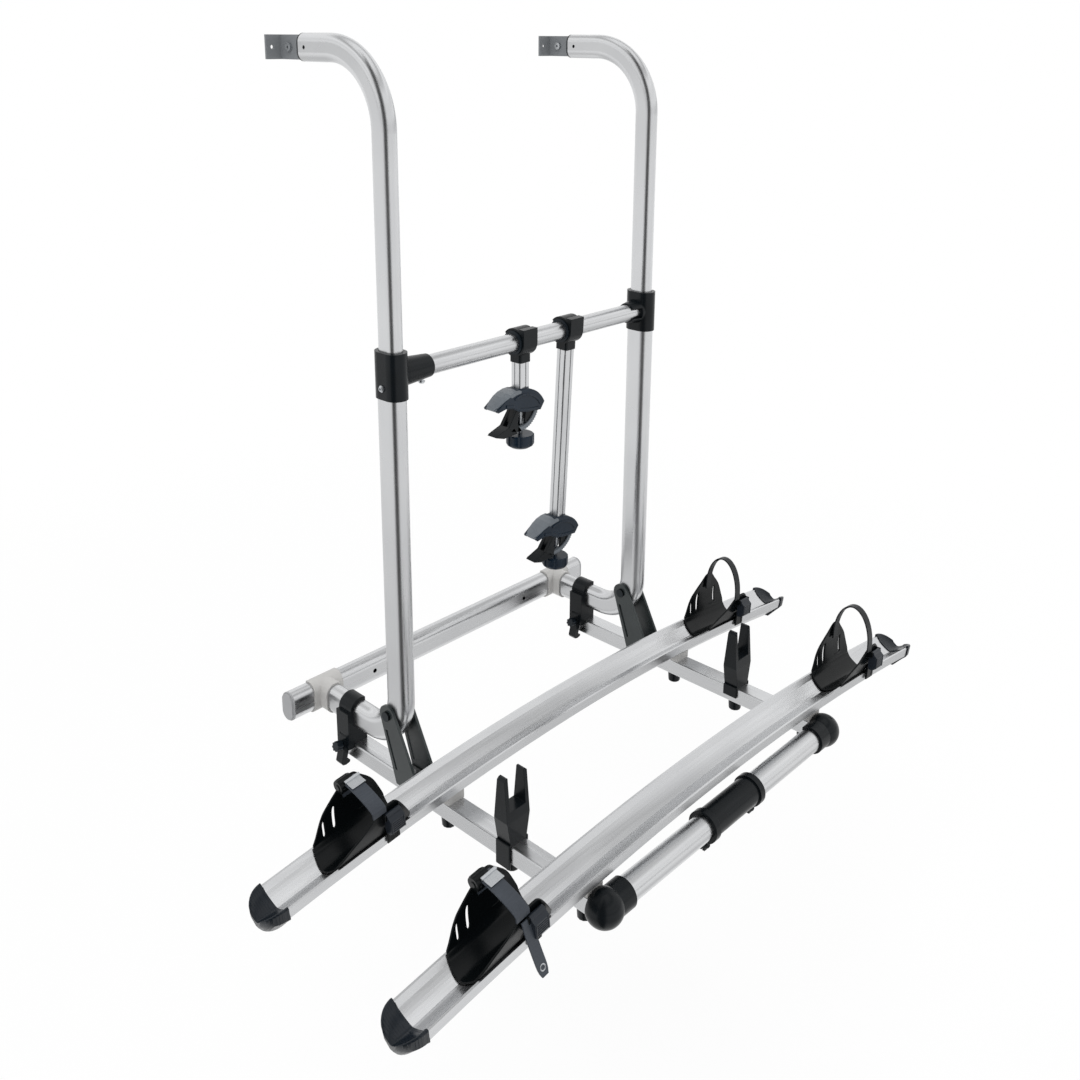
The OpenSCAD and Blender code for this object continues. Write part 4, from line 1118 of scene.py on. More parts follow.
    def build_fittings(self) -> None:
        """Builds the lever's ears and the clips that hook over the rims."""
        work = bmesh.new()
        skin = (self.foot_y + self.flare + self.wall / 2) / MM
        x = self.lever_x
        ear, clip, skirt, ledge = mm(3, 9.5, 11), mm(5, 4.2, 20), mm(24, 3.1, 26), mm(24, 7, 3)
        for side in (-1, 1):
            add_block(work, ear, at(x + side * 15.3, -skin - 3.4, 40.5))
            for across in (-1, 1):
                add_block(work, clip, at(x + side * 9, across * (skin - 1.2), 0))
        for across in (-1, 1):
            add_block(work, skirt, at(x, across * (skin - 1.5), -0.5))
            add_block(work, ledge, at(x, across * (skin - 4), 11))
        piece = settle(
            work,
            f"holder_fittings_{self.spot.end}",
            self.spot.body,
            HOLDER_BLACK,
            self.spot.placing,
        )
        round_edges(piece, 0.5 * MM)


@dataclass
class StrapAnchor:
    """The roll and the bright hinge at the rear end of a folded strap.

    Places are in the holder's frame, in millimetres.
    """

    spot: HolderSpot
    roll_place: tuple[float, float, float] = (28, 31, 73)
    roll_radius: float = 11 * MM
    roll_length: float = 25 * MM
    boss_radius: float = 5 * MM
    flutes: int = 12
    plate_place: tuple[float, float, float] = (37, 13, 79.5)
    plate_slope: float = 7.0
    pin_place: tuple[float, float, float] = (37, 22.5, 81.6)
    pin_radius: float = 2.6 * MM

    def build(self) -> None:
        """Builds the fluted roll and the folded hinge plate."""
        self.build_roll()
        self.build_hinge()

    def build_roll(self) -> None:
        """Builds the roll with its flutes and the bosses at its ends."""
        work = bmesh.new()
        along = at(*self.roll_place) @ Matrix.Rotation(math.pi / 2, 4, "Y")
        add_rod(work, self.roll_radius, self.roll_length, along, 28)
        lift = Matrix.Translation((0, 0, self.roll_radius))
        for index in range(self.flutes):
            turn = Matrix.Rotation(2 * math.pi * index / self.flutes, 4, "X")
            flute = (self.roll_length * 0.8, 2.4 * MM, 1.8 * MM)
            add_block(work, flute, at(*self.roll_place) @ turn @ lift)
        for side in (-1, 1):
            end = Matrix.Translation((0, 0, side * self.roll_length / 2))
            add_rod(work, self.boss_radius, 2.4 * MM, along @ end, 20)
        piece = settle(
            work,
            f"strap_roll_{self.spot.end}",
            self.spot.body,
            HOLDER_BLACK,
            self.spot.placing,
        )
        round_edges(piece, 0.7 * MM)

    def build_hinge(self) -> None:
        """Builds the bright hinge plate and its pin."""
        work = bmesh.new()
        slope = Matrix.Rotation(math.radians(self.plate_slope), 4, "X")
        add_block(work, mm(25, 17, 1.6), at(*self.plate_place) @ slope)
        along = at(*self.pin_place) @ Matrix.Rotation(math.pi / 2, 4, "Y")
        add_rod(work, self.pin_radius, 28 * MM, along, 16)
        name = f"strap_hinge_{self.spot.end}"
        piece = settle(work, name, self.spot.body, ZINC, self.spot.placing)
        round_edges(piece, 0.4 * MM)


@dataclass
class WheelHolder:
    """A wheel holder with its strap and its lever."""

    spot: HolderSpot
    strap: WheelStrap
    # The lever's back, in the holder's frame, in millimetres.
    lever_x: float = 56
    lever_back: float = -54.7
    ribs: int = 5
    rib_pitch: float = 3.6

    @classmethod
    def folded(cls, spot: HolderSpot) -> WheelHolder:
        """A near holder: its wide strap lies folded across, the front one's tail hangs."""
        strap = WheelStrap(
            spot,
            width=25 * MM,
            rise=9 * MM,
            finish=STRAP_GREY,
            slot="strap_plastic",
            rear_spring=76 * MM,
            has_tail=spot.row == "front",
        )
        return cls(spot, strap)

    @classmethod
    def looped(cls, spot: HolderSpot) -> WheelHolder:
        """A far holder: its narrow strap stands up as a loop."""
        return cls(spot, WheelStrap(spot, 16 * MM, 66 * MM, STRAP_BLACK, "black_plastic"))

    def build(self, rack: PackedRack) -> None:
        """Builds the holder's shell and strap, and dresses its lever.

        Args:
            rack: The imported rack.
        """
        rack.dress(LEVER_GREY, f"buckle_{self.spot.end}")
        HolderShell(self.spot).build()
        self.strap.build()
        self.build_lever_ribs()
        if self.spot.side == "left":
            StrapAnchor(self.spot).build()

    def build_lever_ribs(self) -> None:
        """Builds the grip ribs and the raised frame on the lever's back."""
        work = bmesh.new()
        rib, rail = mm(19, 1.6, 1.5), mm(2, 1.8, 21)
        for index in range(self.ribs):
            place = at(self.lever_x, self.lever_back, 17 + index * self.rib_pitch)
            add_block(work, rib, place)
        for side in (-1, 1):
            add_block(work, rail, at(self.lever_x + side * 11.4, self.lever_back, 25))
        piece = settle(
            work,
            f"lever_ribs_{self.spot.end}",
            self.spot.lever_body,
            LEVER_GREY,
            self.spot.placing,
        )
        round_edges(piece, 0.4 * MM)


@dataclass
class WallFrame:
    """The fixed frame: wall bar, uprights, joint blocks, crossbar and brackets."""

    sides: Sequence[str] = ("left", "right")

    def build(self, rack: PackedRack) -> None:
        """Dresses the frame's nodes.

        Args:
            rack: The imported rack.
        """
        rack.dress(SILVER_X, "wall_bar", "crossbar")
        for side in self.sides:
            rack.dress(SILVER_BENT, f"lower_upright_{side}", f"upper_upright_{side}")
            rack.dress(BLACK, f"upright_joint_{side}")
        rack.dress(BLACK, "upright_plugs")
        rack.dress(MID_GREY, "wall_bar_caps")
        rack.dress(PALE_GREY, "foot_collars")
        rack.dress(ZINC, "frame_screws", "bracket_bolts")
        rack.dress(BRACKET, "wall_brackets")


@dataclass
class Claw:
    """The claw at an arm's end: hood with horn and ribs, forked jaw, and rod.

    Its frame has its origin on the arm's axis and z up along the arm. Outlines are
    (x, z) in that frame, in millimetres.
    """

    arm: str
    placing: Matrix
    jaw_pin: Vector
    hood_thickness: float = 34 * MM
    # A rib follows each flank's arch: its centre, radius, and first and last angle.
    arch_centre: tuple[float, float] = (-10, -5)
    arch_radius: float = 50
    arch_turns: tuple[int, int, int] = (30, 114, 4)
    arch_rib: float = 4 * MM
    # And one follows its lower edge.
    edge_line: Outline = ((31, 13), (18, 14), (2, 16), (-17, 20), (-33, 29), (-51, 33))
    edge_rib: float = 5 * MM
    rib_height: float = 2.8 * MM
    # The horn's line over the beak, with its width's share and depth at each point.
    horn_line: Sequence[tuple[float, float, float, float]] = (
        (-14, 51, 1.0, 6.0),
        (-26, 50.3, 1.0, 7.0),
        (-38, 47.3, 0.98, 8.0),
        (-49, 42.6, 0.93, 8.5),
        (-59, 36.8, 0.84, 8.0),
        (-67, 31.4, 0.7, 6.5),
        (-71.5, 27.6, 0.45, 4.0),
    )
    pad_outline: Outline = (
        (-71, 29), (-69, 25.5), (-52, 28), (-34, 25.5), (-30, 38), (-52, 40),
    )
    pad_half: float = 13 * MM
    jaw_thickness: float = 22 * MM
    fork_gap: float = 9 * MM
    # Each cheek of the jaw has its strut at another x, so that both show.
    struts: tuple[float, float] = (-17, -9)
    cheek_outline: Outline = (
        (-8, 33), (-19, 24), (-20, 17), (-38, -9), (-33, -18), (-13, -23), (-6, -22),
    )
    link_outline: Outline = ((-2, 29), (-4, 19), (22, 14.5), (33, 12), (34, 16.5), (20, 22))
    finger_outline: Outline = (
        (-38, -9), (-66, -17.5), (-69, -20.5), (-50, -26.5), (-17, -25), (-24, -14),
    )
    web_radius: float = 39
    sector_radius: float = 47.5 * MM
    sector_turns: tuple[float, float] = (-13.0, -98.0)
    rim_depth: float = 7.2 * MM
    tooth_height: float = 1.8 * MM
    teeth: int = 15
    rod_radius: float = 4.02 * MM
    rod_length: float = 79 * MM
    rod_middle: float = 8.7 * MM

    @classmethod
    def find(cls, rack: PackedRack, arm: str) -> Claw:
        """Finds a claw by the joints of its swivel and its jaw.

        Args:
            rack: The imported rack.
            arm: The arm's name, short or long.

        Returns:
            The claw.
        """
        up = -rack.axis(f"{arm}_claw_swivel")
        turn = Matrix((X_AXIS, up.cross(X_AXIS), up)).transposed().to_4x4()
        placing = Matrix.Translation(rack.pivot(f"{arm}_claw_swivel")) @ turn
        return cls(arm, placing, placing.inverted() @ rack.pivot(f"{arm}_jaw_close"))

    def build(self, rack: PackedRack) -> None:
        """Dresses the claw's nodes and builds its mouldings.

        Args:
            rack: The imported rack.
        """
        rack.dress(BLACK, f"{self.arm}_claw_jaw")
        rack.dress(CLAW_BLUE, f"{self.arm}_claw_hood", f"{self.arm}_claw_knob")
        self.build_hood_ribs()
        self.build_beak()
        self.build_jaw()
        self.build_rims()
        self.build_rod()

    def settle_on(
        self, work: bmesh.types.BMesh, name: str, body: str, finish: Finish
    ) -> bpy.types.Object:
        """Settles a moulding of the claw.

        Args:
            work: The mesh, in the claw's frame; it is freed.
            name: The piece's name after the arm's.
            body: The body's name after the arm's.
            finish: The piece's finish.

        Returns:
            The piece's object.
        """
        arm = self.arm
        return settle(work, f"{arm}_{name}", f"{arm}_{body}", finish, self.placing)

    def build_hood_ribs(self) -> None:
        """Builds the raised ribs along both sides of the hood."""
        centre_x, centre_z = self.arch_centre
        arch = [
            (
                centre_x + self.arch_radius * math.cos(math.radians(turn)),
                centre_z + self.arch_radius * math.sin(math.radians(turn)),
            )
            for turn in range(self.arch_turns[0], self.arch_turns[1] + 1, self.arch_turns[2])
        ]
        work = bmesh.new()
        for side in (-1, 1):
            for line, width in ((arch, self.arch_rib), (self.edge_line, self.edge_rib)):
                points = [
                    Vector((x * MM, side * self.hood_thickness / 2, z * MM)) for x, z in line
                ]
                add_band(work, stations_along(points, Y_AXIS), self.rib_height, width)
        round_edges(self.settle_on(work, "claw_hood_ribs", "claw", CLAW_BLUE), 0.6 * MM)

    def build_beak(self) -> None:
        """Builds the horn over the hood's beak and the pad between its prongs."""
        points = [Vector((x * MM, 0, z * MM)) for x, z, _, _ in self.horn_line]
        first_depth = self.horn_line[0][3]
        frames = [
            frame @ Matrix.Diagonal((share, depth / first_depth, 1, 1))
            for frame, (_, _, share, depth) in zip(
                stations_along(points, Y_AXIS), self.horn_line
            )
        ]
        width = self.hood_thickness + 0.8 * MM
        section = Matrix.Diagonal((width, first_depth * MM, 1, 1))
        work = bmesh.new()
        made = bmesh.ops.create_circle(
            work,
            cap_ends=True,
            segments=20,
            radius=0.56,
            matrix=section @ Matrix.Rotation(math.pi / 20, 4, "Z"),
        )
        # A widened oval with its ends cut off gives flat flanks and a round back.
        for corner in made["verts"]:
            corner.co.x = max(-width / 2, min(width / 2, corner.co.x * 1.25))
        sweep(work, made["verts"][0].link_faces[0], frames)
        add_plate(work, self.pad_outline, -self.pad_half, self.pad_half)
        # The horn's pale grey is a painted highlight along the beak's top.
        round_edges(self.settle_on(work, "claw_beak", "claw", HORN_GREY_AND_HIGHLIGHT), 0.6 * MM)

    def web_line(self, first: int) -> list[tuple[float, float]]:
        """Works out the round edge of the web inside the toothed rim.

        Args:
            first: The angle at which the edge starts, in degrees.

        Returns:
            Its points.
        """
        pin_x, pin_z = self.jaw_pin.x / MM, self.jaw_pin.z / MM
        return [
            (
                pin_x + self.web_radius * math.cos(math.radians(turn)),
                pin_z + self.web_radius * math.sin(math.radians(turn)),
            )
            for turn in range(first, -14, 8)
        ]

    def build_jaw(self) -> None:
        """Builds the forked jaw: two open cheeks with webs, and a finger."""
        half, inner = self.jaw_thickness / 2, self.fork_gap / 2
        work = bmesh.new()
        for low, high, strut in zip((-half, inner), (-inner, half), self.struts):
            opening = ((strut, -8), (strut + 2, 8), (-6, 20), (-1, 27))
            add_plate(work, (*self.cheek_outline, *opening), low, high)
            add_plate(work, self.link_outline, low + 1.2 * MM, high - 1.2 * MM)
        far_web = ((-6, 20), *self.web_line(-96), (22, 17))
        add_plate(work, far_web, inner + 1.5 * MM, half - 1.5 * MM)
        near_web = ((6, 14), *self.web_line(-72), (22, 16))
        add_plate(work, near_web, -half + 2.5 * MM, -inner - 0.5 * MM)
        add_plate(work, self.finger_outline, -half, half)
        piece = self.settle_on(work, "forked_jaw", "jaw", BLACK)
        round_edges(piece, 0.6 * MM)
        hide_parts(f"{self.arm}_claw_jaw")

    def build_rims(self) -> None:
        """Builds the toothed rims on the jaw's two cheeks."""
        half, inner = self.jaw_thickness / 2, self.fork_gap / 2
        work = bmesh.new()
        for low, high in ((-half, -inner), (inner, half)):
            self.add_toothed_rim(work, low, high)
        self.settle_on(work, "ratchet_rims", "jaw", HORN_GREY_AND_HIGHLIGHT)

    def add_toothed_rim(self, work: bmesh.types.BMesh, low: float, high: float) -> None:
        """Adds one cheek's curved rim with its ratchet teeth.

        Args:
            work: The mesh that takes the rim.
            low: The rim's lower y.
            high: The rim's upper y.
        """
        start, stop = (math.radians(turn) for turn in self.sector_turns)
        outside = self.sector_radius - self.tooth_height
        inside = outside - self.rim_depth
        ray = Vector((math.cos(start), 0, math.sin(start)))
        section = ((inside, low), (outside, low), (outside, high), (inside, high))
        corners = [
            work.verts.new(self.jaw_pin + ray * radius + Y_AXIS * depth)
            for radius, depth in section
        ]
        face = work.faces.new(corners)
        bmesh.ops.spin(
            work,
            geom=[face, *face.edges, *face.verts],
            axis=Y_AXIS,
            cent=self.jaw_pin,
            angle=start - stop,
            steps=24,
            use_duplicate=False,
        )
        pitch = (stop - start) / self.teeth
        tooth = (2 * self.tooth_height, high - low - 0.4 * MM, 2.1 * MM)
        for index in range(self.teeth):
            turn = start + pitch * (index + 0.5)
            ray = Vector((math.cos(turn), 0, math.sin(turn)))
            place = self.jaw_pin + ray * (self.sector_radius - 2.2 * MM)
            place.y = (low + high) / 2
            add_block(work, tooth, Matrix.Translation(place) @ Matrix.Rotation(-turn, 4, "Y"))

    def build_rod(self) -> None:
        """Builds the bright steel rod that the knob turns inside the jaw."""
        work = bmesh.new()
        middle = Matrix.Translation((0, 0, self.rod_middle))
        add_rod(work, self.rod_radius, self.rod_length, self.placing @ middle, 24)
        settle(work, f"{self.arm}_claw_rod", f"{self.arm}_knob", ZINC)


@dataclass
class FrameArm:
    """An arm with its clamp on the crossbar and its claw."""

    arm: str

    def build(self, rack: PackedRack) -> None:
        """Dresses the arm's nodes and builds its claw.

        Args:
            rack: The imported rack.
        """
        rack.dress(KNOB_GREY, f"{self.arm}_arm_liner")
        rack.dress(SILVER_Z, f"{self.arm}_arm_tube")
        rack.dress(BLACK, f"{self.arm}_arm_clamp")
        Claw.find(rack, self.arm).build(rack)


@dataclass
class RailCap:
    """A moulded cap with two horns on one end of a wheel rail."""

    row: str
    side: str
    reach: float = 35 * MM
    steps: int = 9
    # The cap closes towards a line this far below the rims.
    core: float = -16 * MM
    stand_off: float = 0.4 * MM
    # Its section as (y, z) in millimetres: half the outside, the horn, half the trough.
    outside: Outline = ((9.5, -46.5), (35.2, -17), (36.8, 2.6))
    horn: Outline = ((35.0, 4.2), (32.5, 4.0))
    trough: Outline = ((30.5, 0.5), (24.2, -7.0), (15, -12.8), (7, -18.0))
    trough_floor: tuple[float, float] = (0, -19.3)

    def outline(self) -> list[tuple[float, float]]:
        """Goes round the rail's section with its trough.

        Returns:
            The points as (y, z) in millimetres.
        """
        right = [*self.outside, *self.horn, *self.trough]
        left = [(-y, z) for y, z in reversed(right)]
        return [*right, self.trough_floor, *left]

    def build(self, rack: PackedRack) -> None:
        """Builds the cap: a thin collar at the rail's end, closed by a round nose.

        Args:
            rack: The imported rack.
        """
        way = -1 if self.side == "left" else 1
        half_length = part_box(f"rail_{self.row}")[1].x
        stand = rack.on_arch(self.row, math.asin(way * half_length / ARCH_RADIUS))
        work = bmesh.new()
        face = work.faces.new(
            [work.verts.new((0, y * MM, z * MM)) for y, z in self.outline()]
        )
        lift = Matrix.Translation((0, 0, self.core))
        frames = [Matrix.Translation((way * self.stand_off, 0, 0))]
        for step in range(1, self.steps + 1):
            share = step / self.steps
            size = math.sqrt(1 - (0.94 * share) ** 2.2)
            shrink = lift @ Matrix.Diagonal((1, size, size, 1)) @ lift.inverted()
            frames.append(Matrix.Translation((way * self.reach * share, 0, 0)) @ shrink)
        sweep(work, face, frames)
        name = f"rail_nose_{self.row}_{self.side}"
        piece = settle(work, name, "platform", CAP_BLUE, stand)
        round_edges(piece, 1.2 * MM, 3)


@dataclass
class Platform:
    """The folding platform: base bars, rails, forks, elbows and front tube."""

    # Feet of a fork beside its base bar: how far each hangs, outer and inner.
    foot_drops: tuple[float, float] = (44 * MM, 22 * MM)
    foot_top: float = 35 * MM
    foot_gap: float = 2.1 * MM
    knob_drop: float = 10.8 * MM

    def build(self, rack: PackedRack) -> None:
        """Dresses the platform's nodes, and builds its caps, fork feet and knobs.

        Args:
            rack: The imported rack.
        """
        rack.dress(SILVER_Y, "base_bar_left", "base_bar_right")
        rack.dress(SILVER_X, "rail_rear", "rail_front", "front_tube")
        rack.dress(BLACK, "base_bar_caps", "front_tube_sleeve", "platform_bolts")
        rack.dress(BLACK, "fork_left", "fork_right", "elbow_left", "elbow_right")
        # The cheeks' charcoal colour is a painted sheen on their broad faces.
        rack.dress(CHEEK_SHEEN_CHARCOAL, "pivot_cheeks")
        rack.dress(CAP_BLUE, "rail_caps")
        rack.dress(PALE_GREY, "rail_saddles")
        rack.dress(BLACKENED, "pivot_pins")
        for row in ("rear", "front"):
            for side in ("left", "right"):
                RailCap(row, side).build(rack)
        self.build_fork_feet(rack)
        self.build_bar_knobs(rack)

    def build_fork_feet(self, rack: PackedRack) -> None:
        """Builds the feet with which the forks straddle the base bars.

        Args:
            rack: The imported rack.
        """
        low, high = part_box("base_bar_right")
        bar_half = (high.x - low.x) / 2
        outer, inner = self.foot_drops
        for side, turn in (("left", -1), ("right", 1)):
            fork = rack.middle(f"fork_{side}")
            work = bmesh.new()
            for flank, drop in ((turn, outer), (-turn, inner)):
                place = (
                    fork.x + flank * (bar_half + self.foot_gap),
                    fork.y,
                    low.z + self.foot_top - drop / 2,
                )
                add_block(work, (4 * MM, 30 * MM, drop), Matrix.Translation(place))
            piece = settle(work, f"fork_foot_{side}", "platform", BLACK)
            round_edges(piece, 1.2 * MM)

    def build_bar_knobs(self, rack: PackedRack) -> None:
        """Builds the twelve-sided skirts of the knob bolts under the base bars.

        Args:
            rack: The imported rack.
        """
        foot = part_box("base_bar_right")[0].z
        work = bmesh.new()
        for carried in ("rail_rear", "fork_right", "rail_front"):
            for bar in ("base_bar_left", "base_bar_right"):
                place = Vector((
                    rack.middle(bar).x, rack.middle(carried).y, foot - self.knob_drop
                ))
                frame = Matrix.Translation(place)
                add_rod(work, 11.5 * MM, 21 * MM, frame, 12, top_radius=13 * MM)
        piece = settle(work, "bar_knob_skirts", "platform", BLACK)
        round_edges(piece, 1.4 * MM)


@dataclass
class FootLatches:
    """The two latches that hold the platform's base bars at the feet."""

    def build(self, rack: PackedRack) -> None:
        """Dresses the latches' nodes.

        Args:
            rack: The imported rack.
        """
        rack.dress(BLACK, "latch_saddles", "latch_hook_left", "latch_hook_right")
        rack.dress(KNOB_GREY, "latch_knob_left", "latch_knob_right")


@dataclass(frozen=True)
class Lamp:
    """A square soft lamp that points at the rack and doesn't show in its metal."""

    name: str
    place: tuple[float, float, float]
    size: float
    power: float
    target: tuple[float, float, float] = (0, -0.35, 0.4)

    def hang(self) -> None:
        """Adds the lamp to the scene."""
        lamp = bpy.data.lights.new(self.name, "AREA")
        lamp.size = self.size
        lamp.energy = self.power
        holder = bpy.data.objects.new(self.name, lamp)
        aim = Vector(self.target) - Vector(self.place)
        turn = aim.to_track_quat("-Z", "Y").to_matrix().to_4x4()
        holder.matrix_world = Matrix.Translation(self.place) @ turn
        holder.visible_glossy = False
        bpy.context.scene.collection.objects.link(holder)


@dataclass
class Studio:
    """A white studio: a pale floor, three lamps, and soft boxes with dark gaps.

    The soft boxes' gaps and the flag behind the camera show only in shiny surfaces,
    where they draw the bands that polished tubes have in a photographer's studio.
    Neither the floor nor the lamps show there.
    """

    floor_drop: float = 500 * MM
    floor_size: float = 6.4
    floor_white: float = 0.86
    sky_level: float = 0.8
    # Sine of the elevation against brightness, from the floor up to the zenith.
    bands: Outline = (
        (-1.0, 1.0),
        (-0.80, 1.05),
        (-0.57, 0.72),
        (-0.34, 1.0),
        (-0.10, 1.15),
        (0.03, 0.60),
        (0.16, 1.15),
        (0.40, 0.95),
        (0.60, 1.25),
        (0.80, 0.50),
        (0.92, 1.15),
        (1.0, 1.2),
    )
    # The flag's middle, and how far its core and its soft edge reach to each side.
    flag_azimuth: float = 207.0
    flag_core: float = 12.0
    flag_edge: float = 30.0
    flag_depth: float = 0.93
    lamps: Sequence[Lamp] = (
        Lamp("key_lamp", (-2.2, -1.2, 3.2), 2.0, 46.0),
        Lamp("fill_lamp", (2.6, -2.6, 1.4), 1.4, 20.0),
        Lamp("back_lamp", (1.4, 1.8, 2.8), 1.0, 20.0),
    )

    def build(self, lowest: float) -> None:
        """Builds the floor, the sky and the lamps.

        Args:
            lowest: The height of the rack's lowest point.
        """
        self.build_sky()
        self.build_floor(lowest - self.floor_drop)
        for lamp in self.lamps:
            lamp.hang()
        bpy.context.scene.view_settings.view_transform = "Standard"

    def band_level(
        self, tree: bpy.types.NodeTree, way: bpy.types.NodeSocket
    ) -> bpy.types.NodeSocket:
        """Builds the brightness of the soft boxes by height.

        Args:
            tree: The world's node tree.
            way: The direction that is looked in.

        Returns:
            The brightness.
        """
        height = add_node(tree, "ShaderNodeSeparateXYZ", {"Vector": way}).outputs["Z"]
        share = add_node(
            tree, "ShaderNodeMapRange", {"Value": height, "From Min": -1.0, "From Max": 1.0}
        )
        ramp = add_node(tree, "ShaderNodeValToRGB", {"Fac": share.outputs[0]})
        stops = ramp.color_ramp.elements
        while len(stops) < len(self.bands):
            stops.new(0.5)
        for stop, (rise, level) in zip(stops, self.bands):
            stop.position = (rise + 1) / 2
            stop.color = (level, level, level, 1)
        ramp.color_ramp.interpolation = "EASE"
        return ramp.outputs[0]

    def flag_level(
        self, tree: bpy.types.NodeTree, way: bpy.types.NodeSocket
    ) -> bpy.types.NodeSocket:
        """Builds the share of the light that the dark flag lets through.

        Args:
            tree: The world's node tree.
            way: The direction that is looked in.

        Returns:
            The share.
        """
        flat = add_node(
            tree, "ShaderNodeVectorMath", {0: way, 1: (1, 1, 0)}, operation="MULTIPLY"
        )
        heading = add_node(
            tree, "ShaderNodeVectorMath", {0: flat.outputs[0]}, operation="NORMALIZE"
        )
        turn = math.radians(self.flag_azimuth)
        facing = add_node(
            tree,
            "ShaderNodeVectorMath",
            {0: heading.outputs[0], 1: (math.cos(turn), math.sin(turn), 0)},
            operation="DOT_PRODUCT",
        )
        flag = add_node(
            tree,
            "ShaderNodeMapRange",
            {
                "Value": facing.outputs["Value"],
                "From Min": math.cos(math.radians(self.flag_edge)),
                "From Max": math.cos(math.radians(self.flag_core)),
                "To Min": 1.0,
                "To Max": 1.0 - self.flag_depth,
            },
            interpolation_type="SMOOTHSTEP",
        )
        return flag.outputs[0]

    def build_sky(self) -> None:
        """Builds the sky: white to the camera, banded to metal, even to the rest."""
        world = bpy.data.worlds.new("studio_sky")
        world.use_nodes = True
        tree = world.node_tree
        tree.nodes.clear()
        way = add_node(tree, "ShaderNodeTexCoord").outputs["Generated"]
        banded = add_node(
            tree,
            "ShaderNodeMath",
            {0: self.band_level(tree, way), 1: self.flag_level(tree, way)},
            operation="MULTIPLY",
        )
        white = {"Color": (1, 1, 1, 1)}
        even_sky, banded_sky, white_sky = (
            add_node(tree, "ShaderNodeBackground", {**white, "Strength": strength})
            for strength in (self.sky_level, banded.outputs[0], 1.0)
        )
        rays = add_node(tree, "ShaderNodeLightPath")
        through = add_node(
            tree,
            "ShaderNodeMath",
            {0: rays.outputs["Is Camera Ray"], 1: rays.outputs["Is Transmission Ray"]},
            operation="MAXIMUM",
        )
        lit = add_node(
            tree,
            "ShaderNodeMixShader",
            {0: rays.outputs["Is Glossy Ray"], 1: even_sky.outputs[0], 2: banded_sky.outputs[0]},
        )
        both = add_node(
            tree,
            "ShaderNodeMixShader",
            {0: through.outputs[0], 1: lit.outputs[0], 2: white_sky.outputs[0]},
        )
        add_node(tree, "ShaderNodeOutputWorld", {"Surface": both.outputs[0]})
        bpy.context.scene.world = world

    def build_floor(self, height: float) -> None:
        """Builds a pale floor that shows white and keeps the rack's shadow.

        Args:
            height: The height of the floor.
        """
        work = bmesh.new()
        level = Matrix.Translation((0, 0, height))
        half = self.floor_size / 2
        bmesh.ops.create_grid(work, x_segments=1, y_segments=1, size=half, matrix=level)
        mesh = bpy.data.meshes.new("studio_floor")
        work.to_mesh(mesh)
        work.free()
        mesh.materials.append(self.floor_paint())
        floor = bpy.data.objects.new("studio_floor", mesh)
        bpy.context.scene.collection.objects.link(floor)
        floor.visible_glossy = False
        floor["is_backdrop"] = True

    def floor_paint(self) -> bpy.types.Material:
        """Makes matt white paint that fades to pure white at the floor's edge.

        Returns:
            The material.
        """
        paint = bpy.data.materials.new("studio_floor_paint")
        paint.use_nodes = True
        tree = paint.node_tree
        tree.nodes.clear()
        matt = add_node(tree, "ShaderNodeBsdfDiffuse", {"Color": (0.9, 0.9, 0.9, 1)})
        white = add_node(tree, "ShaderNodeEmission", {"Color": (1, 1, 1, 1), "Strength": 1.0})
        place = add_node(tree, "ShaderNodeTexCoord").outputs["Object"]
        away = add_node(tree, "ShaderNodeVectorMath", {0: place}, operation="LENGTH")
        fade = add_node(
            tree,
            "ShaderNodeMapRange",
            {
                "Value": away.outputs["Value"],
                "From Min": self.floor_size / 6,
                "From Max": self.floor_size / 2,
                "To Min": self.floor_white,
                "To Max": 1.0,
            },
            interpolation_type="SMOOTHSTEP",
        )
        rays = add_node(tree, "ShaderNodeLightPath")
        direct = add_node(
            tree,
            "ShaderNodeMath",
            {0: rays.outputs["Is Camera Ray"], 1: fade.outputs[0]},
            operation="MULTIPLY",
        )
        both = add_node(
            tree,
            "ShaderNodeMixShader",
            {0: direct.outputs[0], 1: matt.outputs[0], 2: white.outputs[0]},
        )
        add_node(tree, "ShaderNodeOutputMaterial", {"Surface": both.outputs[0]})
        return paint


@dataclass(frozen=True)
class CameraStand:
    """The camera, where the perspective of the picture puts it.

    Angles are in radians; the lens and the sensor are in millimetres.
    """

    place: tuple[float, float, float] = (-1379.07 * MM, -1562.67 * MM, 1145.36 * MM)
    yaw: float = 0.8152
    pitch: float = 0.2726
    roll: float = 0.0062
    lens: float = 38.23
    sensor: float = 36.0
    shift: float = -0.17

    def build(self) -> None:
        """Sets the scene's camera."""
        ahead = Vector((
            math.sin(self.yaw) * math.cos(self.pitch),
            math.cos(self.yaw) * math.cos(self.pitch),
            -math.sin(self.pitch),
        ))
        level = Vector((math.cos(self.yaw), -math.sin(self.yaw), 0))
        rise = level.cross(ahead)
        right = level * math.cos(self.roll) + rise * math.sin(self.roll)
        up = rise * math.cos(self.roll) - level * math.sin(self.roll)
        data = bpy.data.cameras.new("picture_camera")
        data.lens = self.lens
        data.sensor_width = self.sensor
        data.sensor_fit = "HORIZONTAL"
        data.shift_y = self.shift
        data.clip_end = 100.0
        camera = bpy.data.objects.new("picture_camera", data)
        turn = Matrix((right, up, -ahead)).transposed().to_4x4()
        camera.matrix_world = Matrix.Translation(self.place) @ turn
        bpy.context.scene.collection.objects.link(camera)
        bpy.context.scene.camera = camera


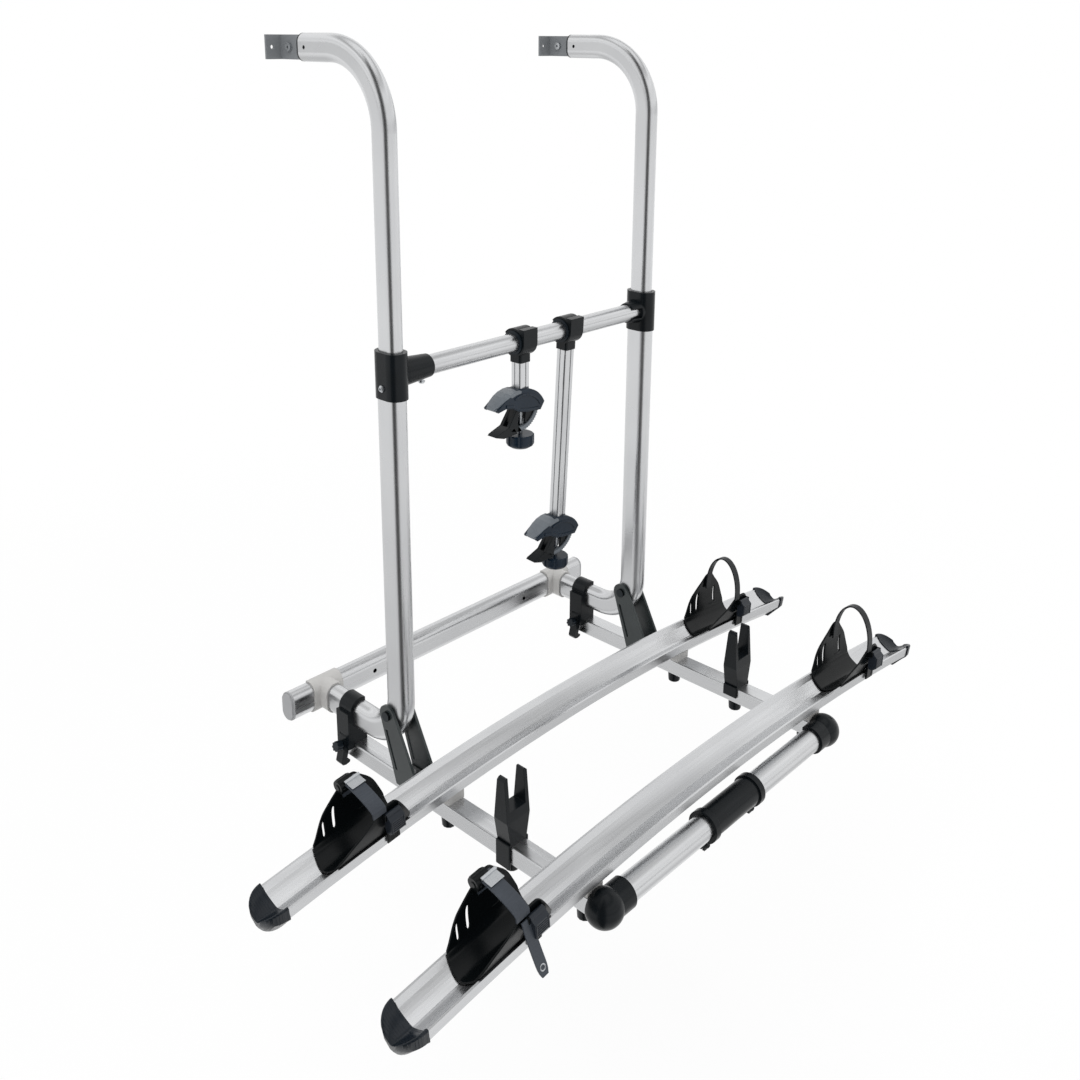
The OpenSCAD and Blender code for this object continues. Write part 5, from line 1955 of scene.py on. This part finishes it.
def main() -> None:
    """Builds the rack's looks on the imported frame."""
    logging.basicConfig(level=logging.INFO, format="%(name)s: %(message)s")
    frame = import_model()
    solid_box = [list(corner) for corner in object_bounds()]
    rack = PackedRack(frame["nodes"], {joint["name"]: joint for joint in frame["joints"]})
    CameraStand().build()
    WallFrame().build(rack)
    FrameArm("short").build(rack)
    FrameArm("long").build(rack)
    Platform().build(rack)
    FootLatches().build(rack)
    for row in ("rear", "front"):
        WheelHolder.folded(HolderSpot.find(rack, row, "left")).build(rack)
        WheelHolder.looped(HolderSpot.find(rack, row, "right")).build(rack)
    Studio().build(solid_box[0][2])


if __name__ == "__main__":
    main()
